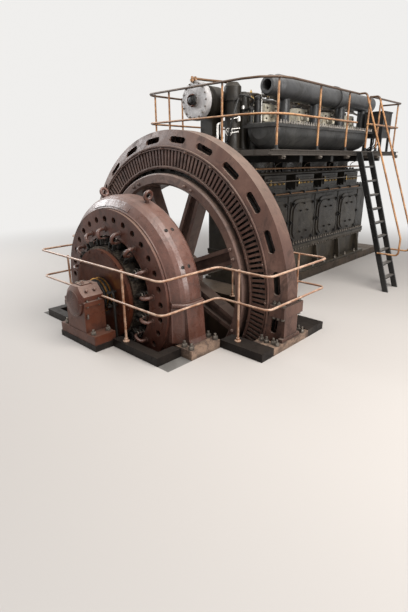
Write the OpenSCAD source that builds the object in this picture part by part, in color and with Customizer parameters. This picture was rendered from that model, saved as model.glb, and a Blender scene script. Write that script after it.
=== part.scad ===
// Stationary engine generating set: vertical four cylinder engine, flywheel alternator and exciter.
// X runs along the shaft from the alternator to the engine, Y across, Z up.
// The origin is on the underside of the foundation, below the shaft, at the crankcase's generator end.

/* [Foundation] */
// Height of the shaft centre above the hall floor
shaft_height = 590; // [560:10:700]
// Depth of the foundation below the hall floor
foundation_depth = 1750; // [1650:10:2200]
// Gap between the alternator's rim and the side foundations
pit_clearance = 15; // [10:1:30]
// Height of the engine's plinth above the hall floor
plinth_height = 160; // [100:5:200]
// Width of the engine's plinth
plinth_w = 1200; // [1160:10:1500]
// Length of the plinth beyond the crankcase at the far end
plinth_overhang = 870; // [200:10:1200]
// Height of the black kerbs above the hall floor
kerb_height = 110; // [60:5:112]
// Width of the foundation outside the alternator's rim, on each side
side_margin = 30; // [20:5:150]
// Length of the side foundations along the shaft
side_length = 1480; // [1300:10:1600]
// Thickness of the alternator's sole plates above the hall floor
sole_t = 100; // [60:5:105]

/* [Shaft line] */
// Crankcase end face to the alternator's middle plane
engine_to_alternator = 1280; // [1200:10:1500]
// Alternator's middle plane to the face of the exciter's end shield
alternator_to_exciter = 1220; // [1200:10:1500]
// Face of the exciter's end shield to the outboard bearing's middle
exciter_to_bearing = 470; // [460:10:670]
// Diameter of the shaft in the hubs
shaft_d = 260; // [200:10:280]
// Diameter of the journal in the outboard bearing
journal_d = 180; // [120:10:190]
// Running clearance of the journals, on the radius
journal_clearance = 0.05; // [0.03:0.01:0.09]
// Depth to which the shaft runs into the crankcase
main_journal_l = 260; // [150:10:400]

/* [Alternator] */
// Diameter over the rim of the stator frame
stator_d = 4280; // [4240:10:4290]
// Width of the rim of the stator frame
stator_rim_w = 220; // [180:10:260]
// Width of the stator over its two end shields
stator_w = 426; // [400:2:460]
// Depth of the sloping band round the slotted shield, on the radius
band_depth = 240; // [220:5:260]
// Depth of the slotted shield, on the radius
shield_depth = 285; // [280:1:295]
// Wall thickness of the stator frame
stator_wall = 35; // [25:1:45]
// Number of rounded air holes round each sloping band
band_holes = 24; // [12:1:36]
// Length of a rounded air hole
band_hole_l = 300; // [200:5:340]
// Width of a rounded air hole
band_hole_w = 84; // [50:2:90]
// Number of radial slots in each end shield
shield_slots = 168; // [72:1:180]
// Width of a radial slot
shield_slot_w = 32; // [16:1:36]
// Thickness of an end shield
shield_t = 30; // [20:1:40]
// Air gap between the poles and the stator core
air_gap = 12; // [8:1:15]
// Depth of the stator core, on the radius
core_depth = 253; // [245:1:260]
// Height of the poles above the rotor's rim
pole_h = 145; // [130:5:170]
// Number of poles on the rotor
poles = 48; // [24:2:56]
// Thickness of the rotor's rim, on the radius
rim_t = 160; // [120:5:200]
// Width of the rotor's rim
rim_w = 540; // [480:5:560]
// Number of arms in the rotor
arms = 8; // [6:1:8]
// Width of an arm at the hub
arm_hub_w = 290; // [200:5:300]
// Width of an arm at the rim
arm_rim_w = 220; // [150:5:260]
// Thickness of an arm along the shaft
arm_t = 200; // [140:5:260]
// Diameter of the rotor's hub
hub_d = 800; // [760:10:900]

/* [Exciter] */
// Diameter over the exciter's yoke
exciter_d = 2600; // [2560:10:2640]
// Length of the exciter's yoke along the shaft
exciter_l = 460; // [440:10:500]
// Depth of the exciter's yoke outside its end shield, on the radius
yoke_depth = 170; // [150:5:190]
// Depth of the exciter's end shield, on the radius
exciter_shield_depth = 310; // [290:5:330]
// Number of round holes in the exciter's end shield
exciter_holes = 31; // [16:1:36]
// Diameter of a round hole
exciter_hole_d = 84; // [40:2:100]
// Depth of the round holes' circle inside the end shield's edge
exciter_hole_inset = 130; // [110:5:140]
// Number of brush arms
brush_arms = 16; // [8:1:18]
// Space for the brushes between the end shield and the commutator
brush_space = 170; // [150:5:200]
// Diameter of the slip rings
slip_ring_d = 480; // [420:10:520]

/* [Engine] */
// Number of cylinders
cylinders = 4; // [3:1:5]
// Distance between cylinder centres
cylinder_pitch = 980; // [940:10:1100]
// Crankcase end face to the first cylinder's centre
first_cylinder = 650; // [600:10:700]
// Width of the crankcase
crankcase_w = 960; // [900:10:1000]
// Height of the crankcase's top above the shaft
crankcase_top = 1200; // [1180:10:1300]
// Height of the joint between bedplate and crankcase above the shaft
bedplate_top = 130; // [120:5:200]
// Diameter of a cylinder jacket
jacket_d = 720; // [660:10:760]
// Height of the cylinders' tops above the shaft
cylinder_top = 2200; // [2150:10:2300]
// Width of a cylinder head
head_w = 620; // [560:10:680]
// Height of a cylinder head
head_h = 420; // [360:10:480]
// Width of a crankcase door
door_w = 860; // [760:10:880]
// Height of a crankcase door
door_h = 820; // [700:10:840]
// Thickness of a crankcase door
door_t = 40; // [25:1:60]

/* [Platform] */
// Height of the deck above the hall floor
deck_height = 2450; // [2420:10:2500]
// Width over the platform
deck_w = 2660; // [2560:10:2800]
// Thickness of the deck's edge channel
deck_t = 75; // [60:5:130]
// Length of the platform
deck_l = 4650; // [4400:10:5000]
// Overhang of the platform over the crankcase's generator end
deck_overhang = 720; // [600:10:800]
// Height of the platform's hand rail above the deck
rail_height = 930; // [850:10:1050]
// Diameter of the hand rail pipes
rail_d = 32; // [24:1:40]

/* [Ladder] */
// Width over the ladder's stringers
ladder_w = 500; // [420:10:600]
// Reach of the ladder's foot from the deck's edge
ladder_reach = 780; // [600:10:900]
// Number of rungs
rungs = 9; // [6:1:12]

/* [Guard rail] */
// Height of the guard rail's top pipe above the hall floor
guard_height = 1060; // [950:10:1150]
// Height of the guard rail's lower pipe above the hall floor
guard_mid = 640; // [500:10:700]
// Diameter of the guard rail pipes
guard_d = 30; // [22:1:38]

/* [Hidden] */

// Clearance where a round or curved piece is seated
seat = 0.3;
// Clearance of moving pieces
moving_gap = 12;

floor_z = foundation_depth;
axis_z = foundation_depth + shaft_height;
alternator_x = -engine_to_alternator;
exciter_x = alternator_x - alternator_to_exciter;
bearing_x = exciter_x - exciter_to_bearing;

stator_r = stator_d / 2;
shield_r = stator_r - band_depth;
shield_bore_r = shield_r - shield_depth;
core_r = stator_r - 175;
core_half = stator_w / 2 - 83;
core_bore_r = core_r - core_depth;
pole_r = core_bore_r - air_gap;
rim_r = pole_r - pole_h;
rim_bore_r = rim_r - rim_t;
shaft_r = shaft_d / 2;
journal_r = journal_d / 2;
exciter_r = exciter_d / 2;
exciter_shield_r = exciter_r - yoke_depth;
exciter_inner_r = exciter_shield_r - 70;
brush_ring_r = exciter_shield_r - exciter_shield_depth;

side_x = alternator_x - 660;
side_outer = stator_r + side_margin;
side_inner = side_outer - 330;
side_wall_inner = side_outer - 720;
sole_l = 820;
pit_r = stator_r + pit_clearance;
pit_w = stator_w + 2 * pit_clearance + 30;
exciter_pier_inner = exciter_pit(-shaft_height) + 20;
exciter_pier_outer = exciter_pier_inner + 330;
exciter_sole_top = 120;
bearing_base_w = 860;
bearing_base_l = 310;
bearing_kerb_h = 80;
exciter_kerb_w = 133;
front_wall_t = 240;
front_wall_x = exciter_x - 120 - front_wall_t;

crankcase_l = 2 * first_cylinder + (cylinders - 1) * cylinder_pitch + 240;
engine_x0 = -540;
plinth_l = crankcase_l + plinth_overhang - engine_x0;
plinth_z = floor_z + plinth_height;
bedplate_z = axis_z + bedplate_top;
crankcase_z = axis_z + crankcase_top;
cylinder_z = axis_z + cylinder_top;
deck_z = floor_z + deck_height;
deck_x0 = -deck_overhang;
deck_x1 = deck_x0 + deck_l;
rail_inset = 40;
rail_y = deck_w / 2 - rail_inset;
tank_l = 420;
tank_x = deck_x1 - rail_inset - tank_l - 80;
deck_hole_w = jacket_d + 80;
trough_r = 320;
trough_y = -(head_w / 2 + trough_r);
rail_r = rail_d / 2;
guard_r = guard_d / 2;
ladder_x = 1900;

function exciter_pit(z) = sqrt(exciter_r * exciter_r - z * z);
function cylinder_x(i) = first_cylinder + i * cylinder_pitch;

// Turns the children's Z axis along the shaft at a given place.
module on_shaft(x) {
    translate([x, 0, axis_z])
        rotate([0, 90, 0])
            children();
}

// A solid of revolution about the shaft from points of radius and place.
module turned(x, profile) {
    on_shaft(x)
        rotate_extrude($fn = 96)
            polygon(profile);
}

// A round bar between two points.
module bar(a, b, r) {
    d = b - a;
    l = norm(d);
    translate(a)
        rotate([0, acos(d[2] / l), atan2(d[1], d[0])])
            cylinder(h = l, r = r, $fn = 24);
}

function turn_angle(a, b, c) =
    let (u = b - a, v = c - b)
    atan2(u[0] * v[1] - u[1] * v[0], u[0] * v[0] + u[1] * v[1]);

// Length that a bend takes off the straight pipe before the corner at point i.
function bend_cut(points, i, bend) =
    i <= 0 || i >= len(points) - 1 ? 0
    : bend * tan(abs(turn_angle(points[i - 1], points[i], points[i + 1])) / 2);

// A pipe in the XY plane along the points, one solid for each straight stretch and the bend after it.
module pipe_run(points, r, bend) {
    for (i = [0:len(points) - 2]) {
        a = points[i];
        d = points[i + 1] - a;
        start = bend_cut(points, i, bend) + (i > 0 ? seat : 0);
        finish = norm(d) - bend_cut(points, i + 1, bend);
        translate(concat(a, 0))
            rotate([0, 0, atan2(d[1], d[0])]) {
                translate([finish, 0, 0])
                    rotate([0, -90, 0])
                        cylinder(h = finish - start, r = r, $fn = 24);
                if (i < len(points) - 2)
                    pipe_bend(finish, turn_angle(a, points[i + 1], points[i + 2]), r, bend);
            }
    }
}

// A bend that starts along X at a given place and turns left, or right where the angle is negative.
module pipe_bend(x, turn, r, bend) {
    mirror([0, turn < 0 ? 1 : 0, 0])
        translate([x, bend, 0])
            rotate([0, 0, -90])
                rotate_extrude(angle = abs(turn), $fn = 96)
                    translate([bend, 0])
                        rotate(90)
                            circle(r = r, $fn = 24);
}

// A slot with round ends, its length along X.
module rounded_slot(l, w) {
    square([l - w, w], center = true);
    for (s = [-1, 1])
        translate([s * (l - w) / 2, 0])
            circle(d = w, $fn = 24);
}

// A box given by its lowest and highest corners.
module block(a, b) {
    translate(a)
        cube(b - a);
}

module both_sides() {
    children();
    mirror([0, 1, 0])
        children();
}

// Foundation

module engine_foundation() {
    color("dimgray")
        block([engine_x0, -plinth_w / 2, 0], [engine_x0 + plinth_l, plinth_w / 2, plinth_z]);
}

module side_foundation() {
    difference() {
        block([side_x, -side_outer, 0], [side_x + side_length, -side_wall_inner, floor_z]);
        on_shaft(alternator_x - pit_w / 2)
            cylinder(h = pit_w, r = pit_r, $fn = 96);
    }
}

module side_foundations() {
    color("gray")
        both_sides()
            side_foundation();
}

module exciter_piers() {
    color("gray")
        both_sides()
            block([front_wall_x + front_wall_t, -exciter_pier_outer, 0], [side_x, -exciter_pier_inner, floor_z]);
}

module front_foundation() {
    color("gray")
        difference() {
            union() {
                block([front_wall_x, -exciter_pier_outer, 0], [front_wall_x + front_wall_t, exciter_pier_outer, floor_z]);
                block([bearing_x - bearing_base_l / 2, -bearing_base_w / 2, 0], [front_wall_x, bearing_base_w / 2, floor_z]);
            }
            on_shaft(commutator_x - 90)
                cylinder(h = 400, r = hook_r + 2 * brush_rod, $fn = 96);
        }
}

// Kerbs round the pits, and the low block below the outboard bearing.
module kerbs() {
    kerb_y = exciter_pier_outer - 188;
    color("black") {
        block([bearing_x - bearing_base_l / 2, -bearing_base_w / 2, floor_z],
            [bearing_x + bearing_half + 5, bearing_base_w / 2, floor_z + bearing_kerb_h]);
        both_sides() {
            block([side_x, -side_outer, floor_z], [alternator_x - sole_l / 2, -side_wall_inner - 50, floor_z + kerb_height]);
            block([alternator_x + sole_l / 2, -side_outer, floor_z],
                [side_x + side_length, -side_wall_inner - 50, floor_z + kerb_height]);
            block([front_wall_x, -kerb_y, floor_z],
                [front_wall_x + exciter_kerb_w, -bearing_base_w / 2 - 10, floor_z + kerb_height]);
            block([front_wall_x, -kerb_y, floor_z],
                [exciter_x + 20, -kerb_y + exciter_kerb_w, floor_z + kerb_height]);
        }
    }
}

module alternator_soles() {
    color("rosybrown")
        both_sides()
            difference() {
                block([alternator_x - sole_l / 2, -side_outer, floor_z], [alternator_x + sole_l / 2, -side_inner, floor_z + sole_t]);
                on_shaft(alternator_x - pit_w / 2)
                    cylinder(h = pit_w, r = pit_r, $fn = 96);
            }
}

module exciter_soles() {
    color("rosybrown")
        both_sides()
            block([exciter_x + 30, -exciter_pier_outer, floor_z],
                [side_x - 10, -exciter_pit(shaft_height - exciter_sole_top) - 12, floor_z + exciter_sole_top]);
}

// Outboard bearing

bearing_half = 165;
bearing_r = 210;
bearing_corner_r = bearing_r / cos(22.5);
bearing_wall = 45;
pedestal_w = 440;
pedestal_inset = 25;
bearing_flange = 245;
cap_taper = 60;

module bearing_bore() {
    on_shaft(bearing_x - bearing_half + bearing_wall)
        cylinder(h = 2 * bearing_half, r = journal_r + journal_clearance, $fn = 64);
}

// A block on a base plate, closed at its outer end, with a flange under the cap.
module bearing_pedestal() {
    x0 = bearing_x - bearing_half + pedestal_inset;
    plate_z = floor_z + bearing_kerb_h;
    color("sienna")
        difference() {
            union() {
                block([x0, -pedestal_w / 2, plate_z], [bearing_x + bearing_half, pedestal_w / 2, axis_z]);
                block([x0 - 8, -bearing_base_w / 2 + 14, plate_z], [bearing_x + bearing_half + 5, bearing_base_w / 2 - 14, plate_z + 120]);
                block([x0, -bearing_flange, axis_z - 30], [bearing_x + bearing_half - 40, bearing_flange, axis_z]);
            }
            bearing_bore();
        }
}

// The cap is an octagon with its outer end drawn in, a flange at its foot and a lid over the oil well.
module bearing_cap() {
    x0 = bearing_x - bearing_half + pedestal_inset;
    color("sienna")
        difference() {
            union() {
                intersection() {
                    on_shaft(bearing_x - bearing_half)
                        rotate([0, 0, 22.5])
                            linear_extrude(2 * bearing_half)
                                circle(r = bearing_corner_r, $fn = 8);
                    turned(bearing_x - bearing_half, [[0, 0], [bearing_r - 50, 0], [bearing_r + 40, cap_taper],
                        [bearing_r + 40, 2 * bearing_half + 1], [0, 2 * bearing_half + 1]]);
                    block([bearing_x - bearing_half - 1, -400, axis_z], [bearing_x + bearing_half + 1, 400, axis_z + 400]);
                }
                block([bearing_x - 70, -80, axis_z + 150], [bearing_x + 90, 80, axis_z + bearing_r + 12]);
                block([x0, -bearing_flange, axis_z], [bearing_x + bearing_half - 40, bearing_flange, axis_z + 25]);
            }
            bearing_bore();
        }
}

// Exciter

exciter_shield_t = 40;
exciter_sole_z = floor_z + exciter_sole_top;
split_flange_h = 80;
skirt_proud = 8;
flange_proud = 20;
// Outer side of the yoke: distance from the shield's face, and radius
yoke_side = [
    [exciter_shield_t, exciter_shield_r + 12], [54, exciter_shield_r + 22], [78, exciter_r - 110], [120, exciter_r - 50],
    [170, exciter_r - 17], [230, exciter_r], [exciter_l - 50, exciter_r], [exciter_l, exciter_r - 30]
];

module exciter_frame() {
    color("saddlebrown") {
        turned(exciter_x, concat(
            [[exciter_inner_r, exciter_shield_t]],
            [for (p = yoke_side) [p[1], p[0]]],
            [[exciter_inner_r, exciter_l]]
        ));
        both_sides() {
            yoke_skirt(exciter_inner_r + 30, skirt_proud, exciter_sole_z, axis_z);
            yoke_skirt(exciter_inner_r + 50, flange_proud, axis_z, axis_z + split_flange_h);
            exciter_foot();
        }
    }
}

// The yoke's side carried straight down, from an inner plane to a given distance outside the yoke.
module yoke_skirt(inner_y, proud, z0, z1) {
    translate([exciter_x, 0, z0])
        linear_extrude(z1 - z0)
            polygon(concat(
                [[exciter_shield_t, -inner_y]],
                [for (p = yoke_side) [p[0], -p[1] - proud]],
                [[exciter_l, -inner_y]]
            ));
}

// A foot that spreads towards its sole plate.
module exciter_foot() {
    inner_y = exciter_inner_r + 70;
    translate([exciter_x + 150, 0, 0])
        rotate([90, 0, 90])
            linear_extrude(exciter_l - 165)
                polygon([
                    [-exciter_r - 12, axis_z + 10], [-exciter_r - 50, exciter_sole_z + 60],
                    [-exciter_r - 70, exciter_sole_z], [-inner_y, exciter_sole_z], [-inner_y, axis_z + 10]
                ]);
}

exciter_hole_turn = 7.6;

module exciter_shield() {
    color("peru")
        on_shaft(exciter_x)
            linear_extrude(exciter_shield_t)
                difference() {
                    circle(r = exciter_shield_r, $fn = 96);
                    circle(r = brush_ring_r, $fn = 96);
                    for (i = [0:exciter_holes - 1])
                        rotate([0, 0, 180 + exciter_hole_turn + i * 360 / exciter_holes])
                            translate([exciter_shield_r - exciter_hole_inset, 0])
                                circle(d = exciter_hole_d, $fn = 24);
                }
}

field_poles = 12;
armature_r = brush_ring_r - brush_space + 40;
armature_x = exciter_x + 140;
armature_l = 280;

module exciter_poles() {
    color("dimgray")
        on_shaft(armature_x)
            linear_extrude(armature_l)
                for (i = [0:field_poles - 1])
                    rotate([0, 0, i * 360 / field_poles])
                        field_pole();
}

module field_pole() {
    intersection() {
        difference() {
            union() {
                translate([armature_r, -150])
                    square([70, 300]);
                translate([armature_r + 50, -80])
                    square([exciter_inner_r - armature_r, 160]);
            }
            circle(r = armature_r + moving_gap, $fn = 96);
        }
        circle(r = exciter_inner_r - seat, $fn = 96);
    }
}

commutator_r = brush_ring_r - brush_space;
commutator_x = exciter_x - 130;
brush_rod = 46;
brush_r = commutator_r + 80;
brush_turn = 6.3;
hook_r = brush_ring_r + 45;
hook_reach = 140;
hook_foot_d = 80;
slip_ring_r = slip_ring_d / 2;
slip_hub_r = slip_ring_r - 40;

// The ring carries hooked arms that reach over the commutator, each with a brush holder.
module brush_gear() {
    color("darkslategray") {
        on_shaft(exciter_x)
            linear_extrude(exciter_shield_t)
                difference() {
                    circle(r = brush_ring_r, $fn = 96);
                    circle(r = brush_ring_r - 40, $fn = 96);
                }
        for (i = [0:brush_arms - 1])
            translate([exciter_x, 0, axis_z])
                rotate([i * 360 / brush_arms - brush_turn, 0, 0])
                    brush_arm();
    }
}

module brush_arm() {
    bend_r = (hook_r - brush_r) / 2;
    bend_x = bend_r + brush_rod / 2 - hook_reach;
    translate([bend_x, 0, brush_r + bend_r])
        rotate([90, 0, 0])
            rotate([0, 0, 90])
                rotate_extrude(angle = 180, $fn = 48)
                    translate([bend_r, 0])
                        circle(d = brush_rod, $fn = 24);
    translate([bend_x - 8, 0, hook_r])
        rotate([0, 90, 0])
            cylinder(h = 8 - bend_x - seat, d = brush_rod - 4, $fn = 24);
    translate([-14, 0, hook_r])
        rotate([0, 90, 0])
            cylinder(h = 14 - seat, d = hook_foot_d, $fn = 24);
    translate([bend_x - 8, 0, brush_r])
        rotate([0, 90, 0])
            cylinder(h = 128 - bend_x, d = brush_rod - 4, $fn = 24);
    block([-20, -32, commutator_r + moving_gap], [110, 32, brush_r + brush_rod / 2 + 6]);
}

eye_r = 55;
eye_turn = 20.5;

module lifting_eyes() {
    color("saddlebrown")
        both_sides()
            translate([exciter_x + 310, 0, axis_z])
                rotate([eye_turn, 0, 0])
                    translate([0, 0, exciter_r])
                        lifting_eye();
}

module lifting_eye() {
    cylinder(h = 40, r = 28, $fn = 32);
    translate([0, 0, 40 + eye_r])
        rotate([90, 0, 0])
            rotate_extrude($fn = 48)
                translate([eye_r, 0])
                    circle(r = 20, $fn = 24);
}

// Alternator

stator_half = stator_w / 2;
stator_rim_half = stator_rim_w / 2;

module stator_frame() {
    color("rosybrown")
        difference() {
            union() {
                turned(alternator_x, [
                    [shield_r, -stator_half], [stator_r, -stator_rim_half], [stator_r, stator_rim_half],
                    [shield_r, stator_half], [shield_r, stator_half - shield_t],
                    [stator_r - stator_wall, stator_rim_half - 15], [stator_r - stator_wall, 60], [core_r, 60],
                    [core_r, 40], [stator_r - stator_wall, 40], [stator_r - stator_wall, -40], [core_r, -40],
                    [core_r, -60], [stator_r - stator_wall, -60], [stator_r - stator_wall, 15 - stator_rim_half],
                    [shield_r, shield_t - stator_half]
                ]);
                both_sides()
                    stator_foot();
            }
            for (i = [0:band_holes - 1])
                translate([alternator_x, 0, axis_z])
                    rotate([(i + 0.5) * 360 / band_holes, 0, 0])
                        translate([0, 0, (stator_r + shield_r) / 2 - 8])
                            rotate([90, 0, 90])
                                translate([0, 0, -stator_half])
                                    linear_extrude(stator_w)
                                        rounded_slot(band_hole_l, band_hole_w);
        }
}

// A column under a lug where the stator's halves are bolted together, on a base plate outside the rim.
module stator_foot() {
    foot_z = floor_z + sole_t;
    difference() {
        union() {
            block([alternator_x - 150, -side_outer + 30, foot_z], [alternator_x + 150, -stator_r + 200, axis_z - 150]);
            block([alternator_x - 220, -side_outer, axis_z - 160], [alternator_x + 220, -stator_r + 193, axis_z - 10]);
        }
        turned(alternator_x, [
            [0, -stator_half], [shield_r - 5, -stator_half], [stator_r - 5, -stator_rim_half],
            [stator_r - 5, stator_rim_half], [shield_r - 5, stator_half], [0, stator_half]
        ]);
    }
    difference() {
        block([alternator_x - 205, -side_outer + 20, foot_z], [alternator_x + 205, -side_inner, foot_z + 45]);
        turned(alternator_x, [[0, -250], [stator_r - 5, -250], [stator_r - 5, 250], [0, 250]]);
    }
}

module stator_core() {
    color("dimgray")
        turned(alternator_x, [[core_bore_r, -core_half], [core_r, -core_half], [core_r, core_half], [core_bore_r, core_half]]);
}

module stator_windings() {
    color("black")
        for (s = [-1, 1])
            turned(alternator_x + s * (core_half + 21), [[core_bore_r + 20, -21], [core_r - 110, -21],
                [core_r - 110, 21], [core_bore_r + 20, 21]]);
}

slot_outer_r = shield_r - 24;
slot_inner_r = shield_bore_r + 45;
shield_rim_h = 16;
shield_lugs = 24;

// A slotted shield with its outer face at z = 0, with raised rims round both edges and a lug at each joint.
module end_shield() {
    linear_extrude(shield_t)
        difference() {
            circle(r = shield_r, $fn = 96);
            circle(r = shield_bore_r, $fn = 96);
            for (i = [0:shield_slots - 1])
                rotate([0, 0, (i + 0.5) * 360 / shield_slots])
                    translate([(slot_outer_r + slot_inner_r) / 2, 0])
                        square([slot_outer_r - slot_inner_r, shield_slot_w], center = true);
        }
    rotate_extrude($fn = 96)
        polygon([
            [slot_inner_r - 35, shield_t / 2], [slot_inner_r - 35, -shield_rim_h + 6],
            [slot_inner_r - 29, -shield_rim_h], [slot_inner_r - 10, -shield_rim_h],
            [slot_inner_r - 4, -shield_rim_h + 6], [slot_inner_r - 4, shield_t / 2]
        ]);
    rotate_extrude($fn = 96)
        polygon([
            [slot_outer_r + 3, shield_t / 2], [slot_outer_r + 3, -shield_rim_h + 4],
            [slot_outer_r + 8, -shield_rim_h + 4], [slot_outer_r + 18, -shield_rim_h + 4],
            [slot_outer_r + 20, shield_t / 2]
        ]);
    for (i = [0:shield_lugs - 1])
        rotate([0, 0, i * 360 / shield_lugs])
            translate([slot_outer_r + 1, -35, -shield_rim_h - 6])
                cube([22, 70, shield_rim_h + shield_t / 2]);
}

module shield_exciter_side() {
    color("rosybrown")
        on_shaft(alternator_x - stator_half)
            end_shield();
}

module shield_engine_side() {
    color("rosybrown")
        on_shaft(alternator_x + stator_half)
            mirror([0, 0, 1])
                end_shield();
}

// Engine

rib_t = 50;
rib_offset = 130;
main_bore_r = shaft_r + journal_clearance;

module bedplate() {
    color("darkslategray")
        difference() {
            union() {
                block([0, -crankcase_w / 2 + 40, plinth_z], [crankcase_l, crankcase_w / 2 - 40, bedplate_z]);
                both_sides()
                    for (i = [0:cylinders])
                        translate([cylinder_x(i) - cylinder_pitch / 2 + rib_offset, 0, 0])
                            bedplate_rib();
                block([0, -crankcase_w / 2 - 30, bedplate_z - 60], [crankcase_l, crankcase_w / 2 + 30, bedplate_z]);
                block([0, -plinth_w / 2 + 20, plinth_z], [crankcase_l, plinth_w / 2 - 20, plinth_z + 50]);
            }
            on_shaft(-1)
                cylinder(h = main_journal_l + 1, r = main_bore_r, $fn = 64);
        }
}

// A gusset that widens towards the plinth.
module bedplate_rib() {
    rotate([90, 0, 90])
        linear_extrude(rib_t)
            polygon([
                [-crankcase_w / 2 + 60, bedplate_z - 50], [-crankcase_w / 2 - 20, bedplate_z - 50],
                [-plinth_w / 2 + 40, plinth_z + 160], [-plinth_w / 2 + 40, plinth_z + 40],
                [-crankcase_w / 2 + 60, plinth_z + 40]
            ]);
}

module crankcase() {
    color("darkslategray")
        difference() {
            union() {
                block([0, -crankcase_w / 2, bedplate_z], [crankcase_l, crankcase_w / 2, crankcase_z]);
                block([-20, -crankcase_w / 2 - 20, crankcase_z - 50], [crankcase_l + 20, crankcase_w / 2 + 20, crankcase_z]);
                block([-20, -crankcase_w / 2 - 20, bedplate_z], [crankcase_l + 20, crankcase_w / 2 + 20, bedplate_z + 40]);
            }
            on_shaft(-21)
                cylinder(h = main_journal_l + 21, r = main_bore_r, $fn = 64);
        }
}

module rounded_plate(w, h, r) {
    square([w, h - 2 * r], center = true);
    square([w - 2 * r, h], center = true);
    for (x = [-1, 1], y = [-1, 1])
        translate([x * (w / 2 - r), y * (h / 2 - r)])
            circle(r = r, $fn = 48);
}

// A cover with a raised panel inside its bolted edge.
module door(i) {
    translate([cylinder_x(i), -crankcase_w / 2, bedplate_z + 60 + door_h / 2])
        rotate([90, 0, 0]) {
            linear_extrude(door_t - 18)
                rounded_plate(door_w, door_h, door_corner);
            linear_extrude(door_t)
                rounded_plate(door_w - 140, door_h - 140, door_corner - 70);
        }
}

module crankcase_doors() {
    color("darkslategray")
        both_sides()
            for (i = [0:cylinders - 1])
                door(i);
}

door_corner = 250;

pump_w = 660;
pump_h = 260;
pump_d = 220;

module pump_row() {
    color("darkslategray")
        for (i = [0:cylinders - 1])
            block([cylinder_x(i) - pump_w / 2, -crankcase_w / 2 - 20, crankcase_z],
                [cylinder_x(i) + pump_w / 2, -crankcase_w / 2 - 20 + pump_d, crankcase_z + pump_h]);
}

module cylinder_jackets() {
    color("dimgray")
        difference() {
            for (i = [0:cylinders - 1])
                translate([cylinder_x(i), 0, crankcase_z])
                    cylinder(h = cylinder_z - crankcase_z, d = jacket_d, $fn = 64);
            block([-100, -crankcase_w / 2 - 20, crankcase_z - 1],
                [crankcase_l + 100, -crankcase_w / 2 - 20 + pump_d + 1, crankcase_z + pump_h + 1]);
        }
}

module cylinder_heads() {
    color("antiquewhite")
        for (i = [0:cylinders - 1])
            translate([cylinder_x(i), 0, cylinder_z])
                cylinder_head();
}

// A head with a bolted flange, a sloping shoulder and the valve gear's boss.
module cylinder_head() {
    rotate_extrude($fn = 64)
        polygon([
            [0, 0], [head_w / 2, 0], [head_w / 2, 60], [head_w / 2 - 30, 75], [head_w / 2 - 30, head_h - 160],
            [head_w / 2 - 90, head_h - 90], [150, head_h - 70], [150, head_h], [0, head_h]
        ]);
}

trough_x0 = -40;
trough_x1 = tank_x - 40;
trough_l = trough_x1 - trough_x0;

module exhaust_trough() {
    color("black")
        difference() {
            union() {
                translate([trough_x0, trough_y, cylinder_z])
                    rotate([0, 90, 0])
                        rotate_extrude($fn = 64)
                            polygon([
                                [0, 0], [trough_r - 150, 0], [trough_r - 60, 40], [trough_r - 15, 110], [trough_r, 200],
                                [trough_r, trough_l - 200], [trough_r - 15, trough_l - 110],
                                [trough_r - 60, trough_l - 40], [trough_r - 150, trough_l], [0, trough_l]
                            ]);
                block([trough_x0 - 20, trough_y - trough_r - 30, cylinder_z],
                    [trough_x1 + 20, -head_w / 2 - 2, cylinder_z + 40]);
            }
            block([trough_x0 - 100, trough_y - 400, cylinder_z + 40], [trough_x1 + 100, 0, cylinder_z + 500]);
            for (i = [0:cylinders - 1])
                translate([cylinder_x(i), 0, cylinder_z - 500])
                    cylinder(h = 1000, d = jacket_d + 2 * seat, $fn = 64);
        }
}

air_pipe_x = 160;
air_pipe_y = trough_y + 30;
air_pipe_z = deck_z + rail_height + 15;
air_pipe_r = 178;
air_pipe_l = cylinder_x(cylinders - 1) + 310 - air_pipe_x;
air_collar_x = (cylinder_x(1) + cylinder_x(2)) / 2;

module air_pipe() {
    color("black")
        difference() {
            union() {
                translate([air_pipe_x, air_pipe_y, air_pipe_z])
                    rotate([0, 90, 0])
                        rotate_extrude($fn = 64)
                            polygon([
                                [0, 0], [120, 0], [140, 20], [150, 60], [150, 180], [air_pipe_r, 250],
                                [air_pipe_r, air_collar_x - 20], [air_pipe_r + 22, air_collar_x - 20],
                                [air_pipe_r + 22, air_collar_x + 50], [air_pipe_r - 25, air_collar_x + 70],
                                [air_pipe_r - 25, air_pipe_l - 20], [air_pipe_r - 45, air_pipe_l], [0, air_pipe_l]
                            ]);
                for (i = [0:cylinders - 1])
                    translate([cylinder_x(i), air_pipe_y, cylinder_z + 40])
                        cylinder(h = air_pipe_z - cylinder_z - 40, r = 90, $fn = 48);
            }
            translate([air_pipe_x - 1, air_pipe_y, air_pipe_z])
                rotate([0, 90, 0])
                    cylinder(h = 300, r = 80, $fn = 64);
        }
}

module fuel_pipes() {
    color("dimgray") {
        bar([200, -crankcase_w / 2 - 25 - seat, crankcase_z - 90], [crankcase_l - 200, -crankcase_w / 2 - 25 - seat, crankcase_z - 90], 25);
        bar([200, -crankcase_w / 2 + 30, crankcase_z + pump_h + 30 + seat], [crankcase_l - 100, -crankcase_w / 2 + 30, crankcase_z + pump_h + 30 + seat], 30);
    }
}

// Platform

beam_h = 100;
beam_w = 80;
beam_z = deck_z - deck_t;
channel_web = 40;

// Cross beams on short legs, the legs apart from the beams by a seat.
module platform_beams() {
    color("black")
        for (i = [0:cylinders - 1])
            translate([cylinder_x(i) - cylinder_pitch / 2, 0, 0]) {
                block([-beam_w / 2, -deck_w / 2 + 60, beam_z - beam_h], [beam_w / 2, deck_w / 2 - 60, beam_z]);
                both_sides()
                    block([-beam_w / 2, -330, crankcase_z], [beam_w / 2, -230, beam_z - beam_h - seat]);
            }
}

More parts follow.
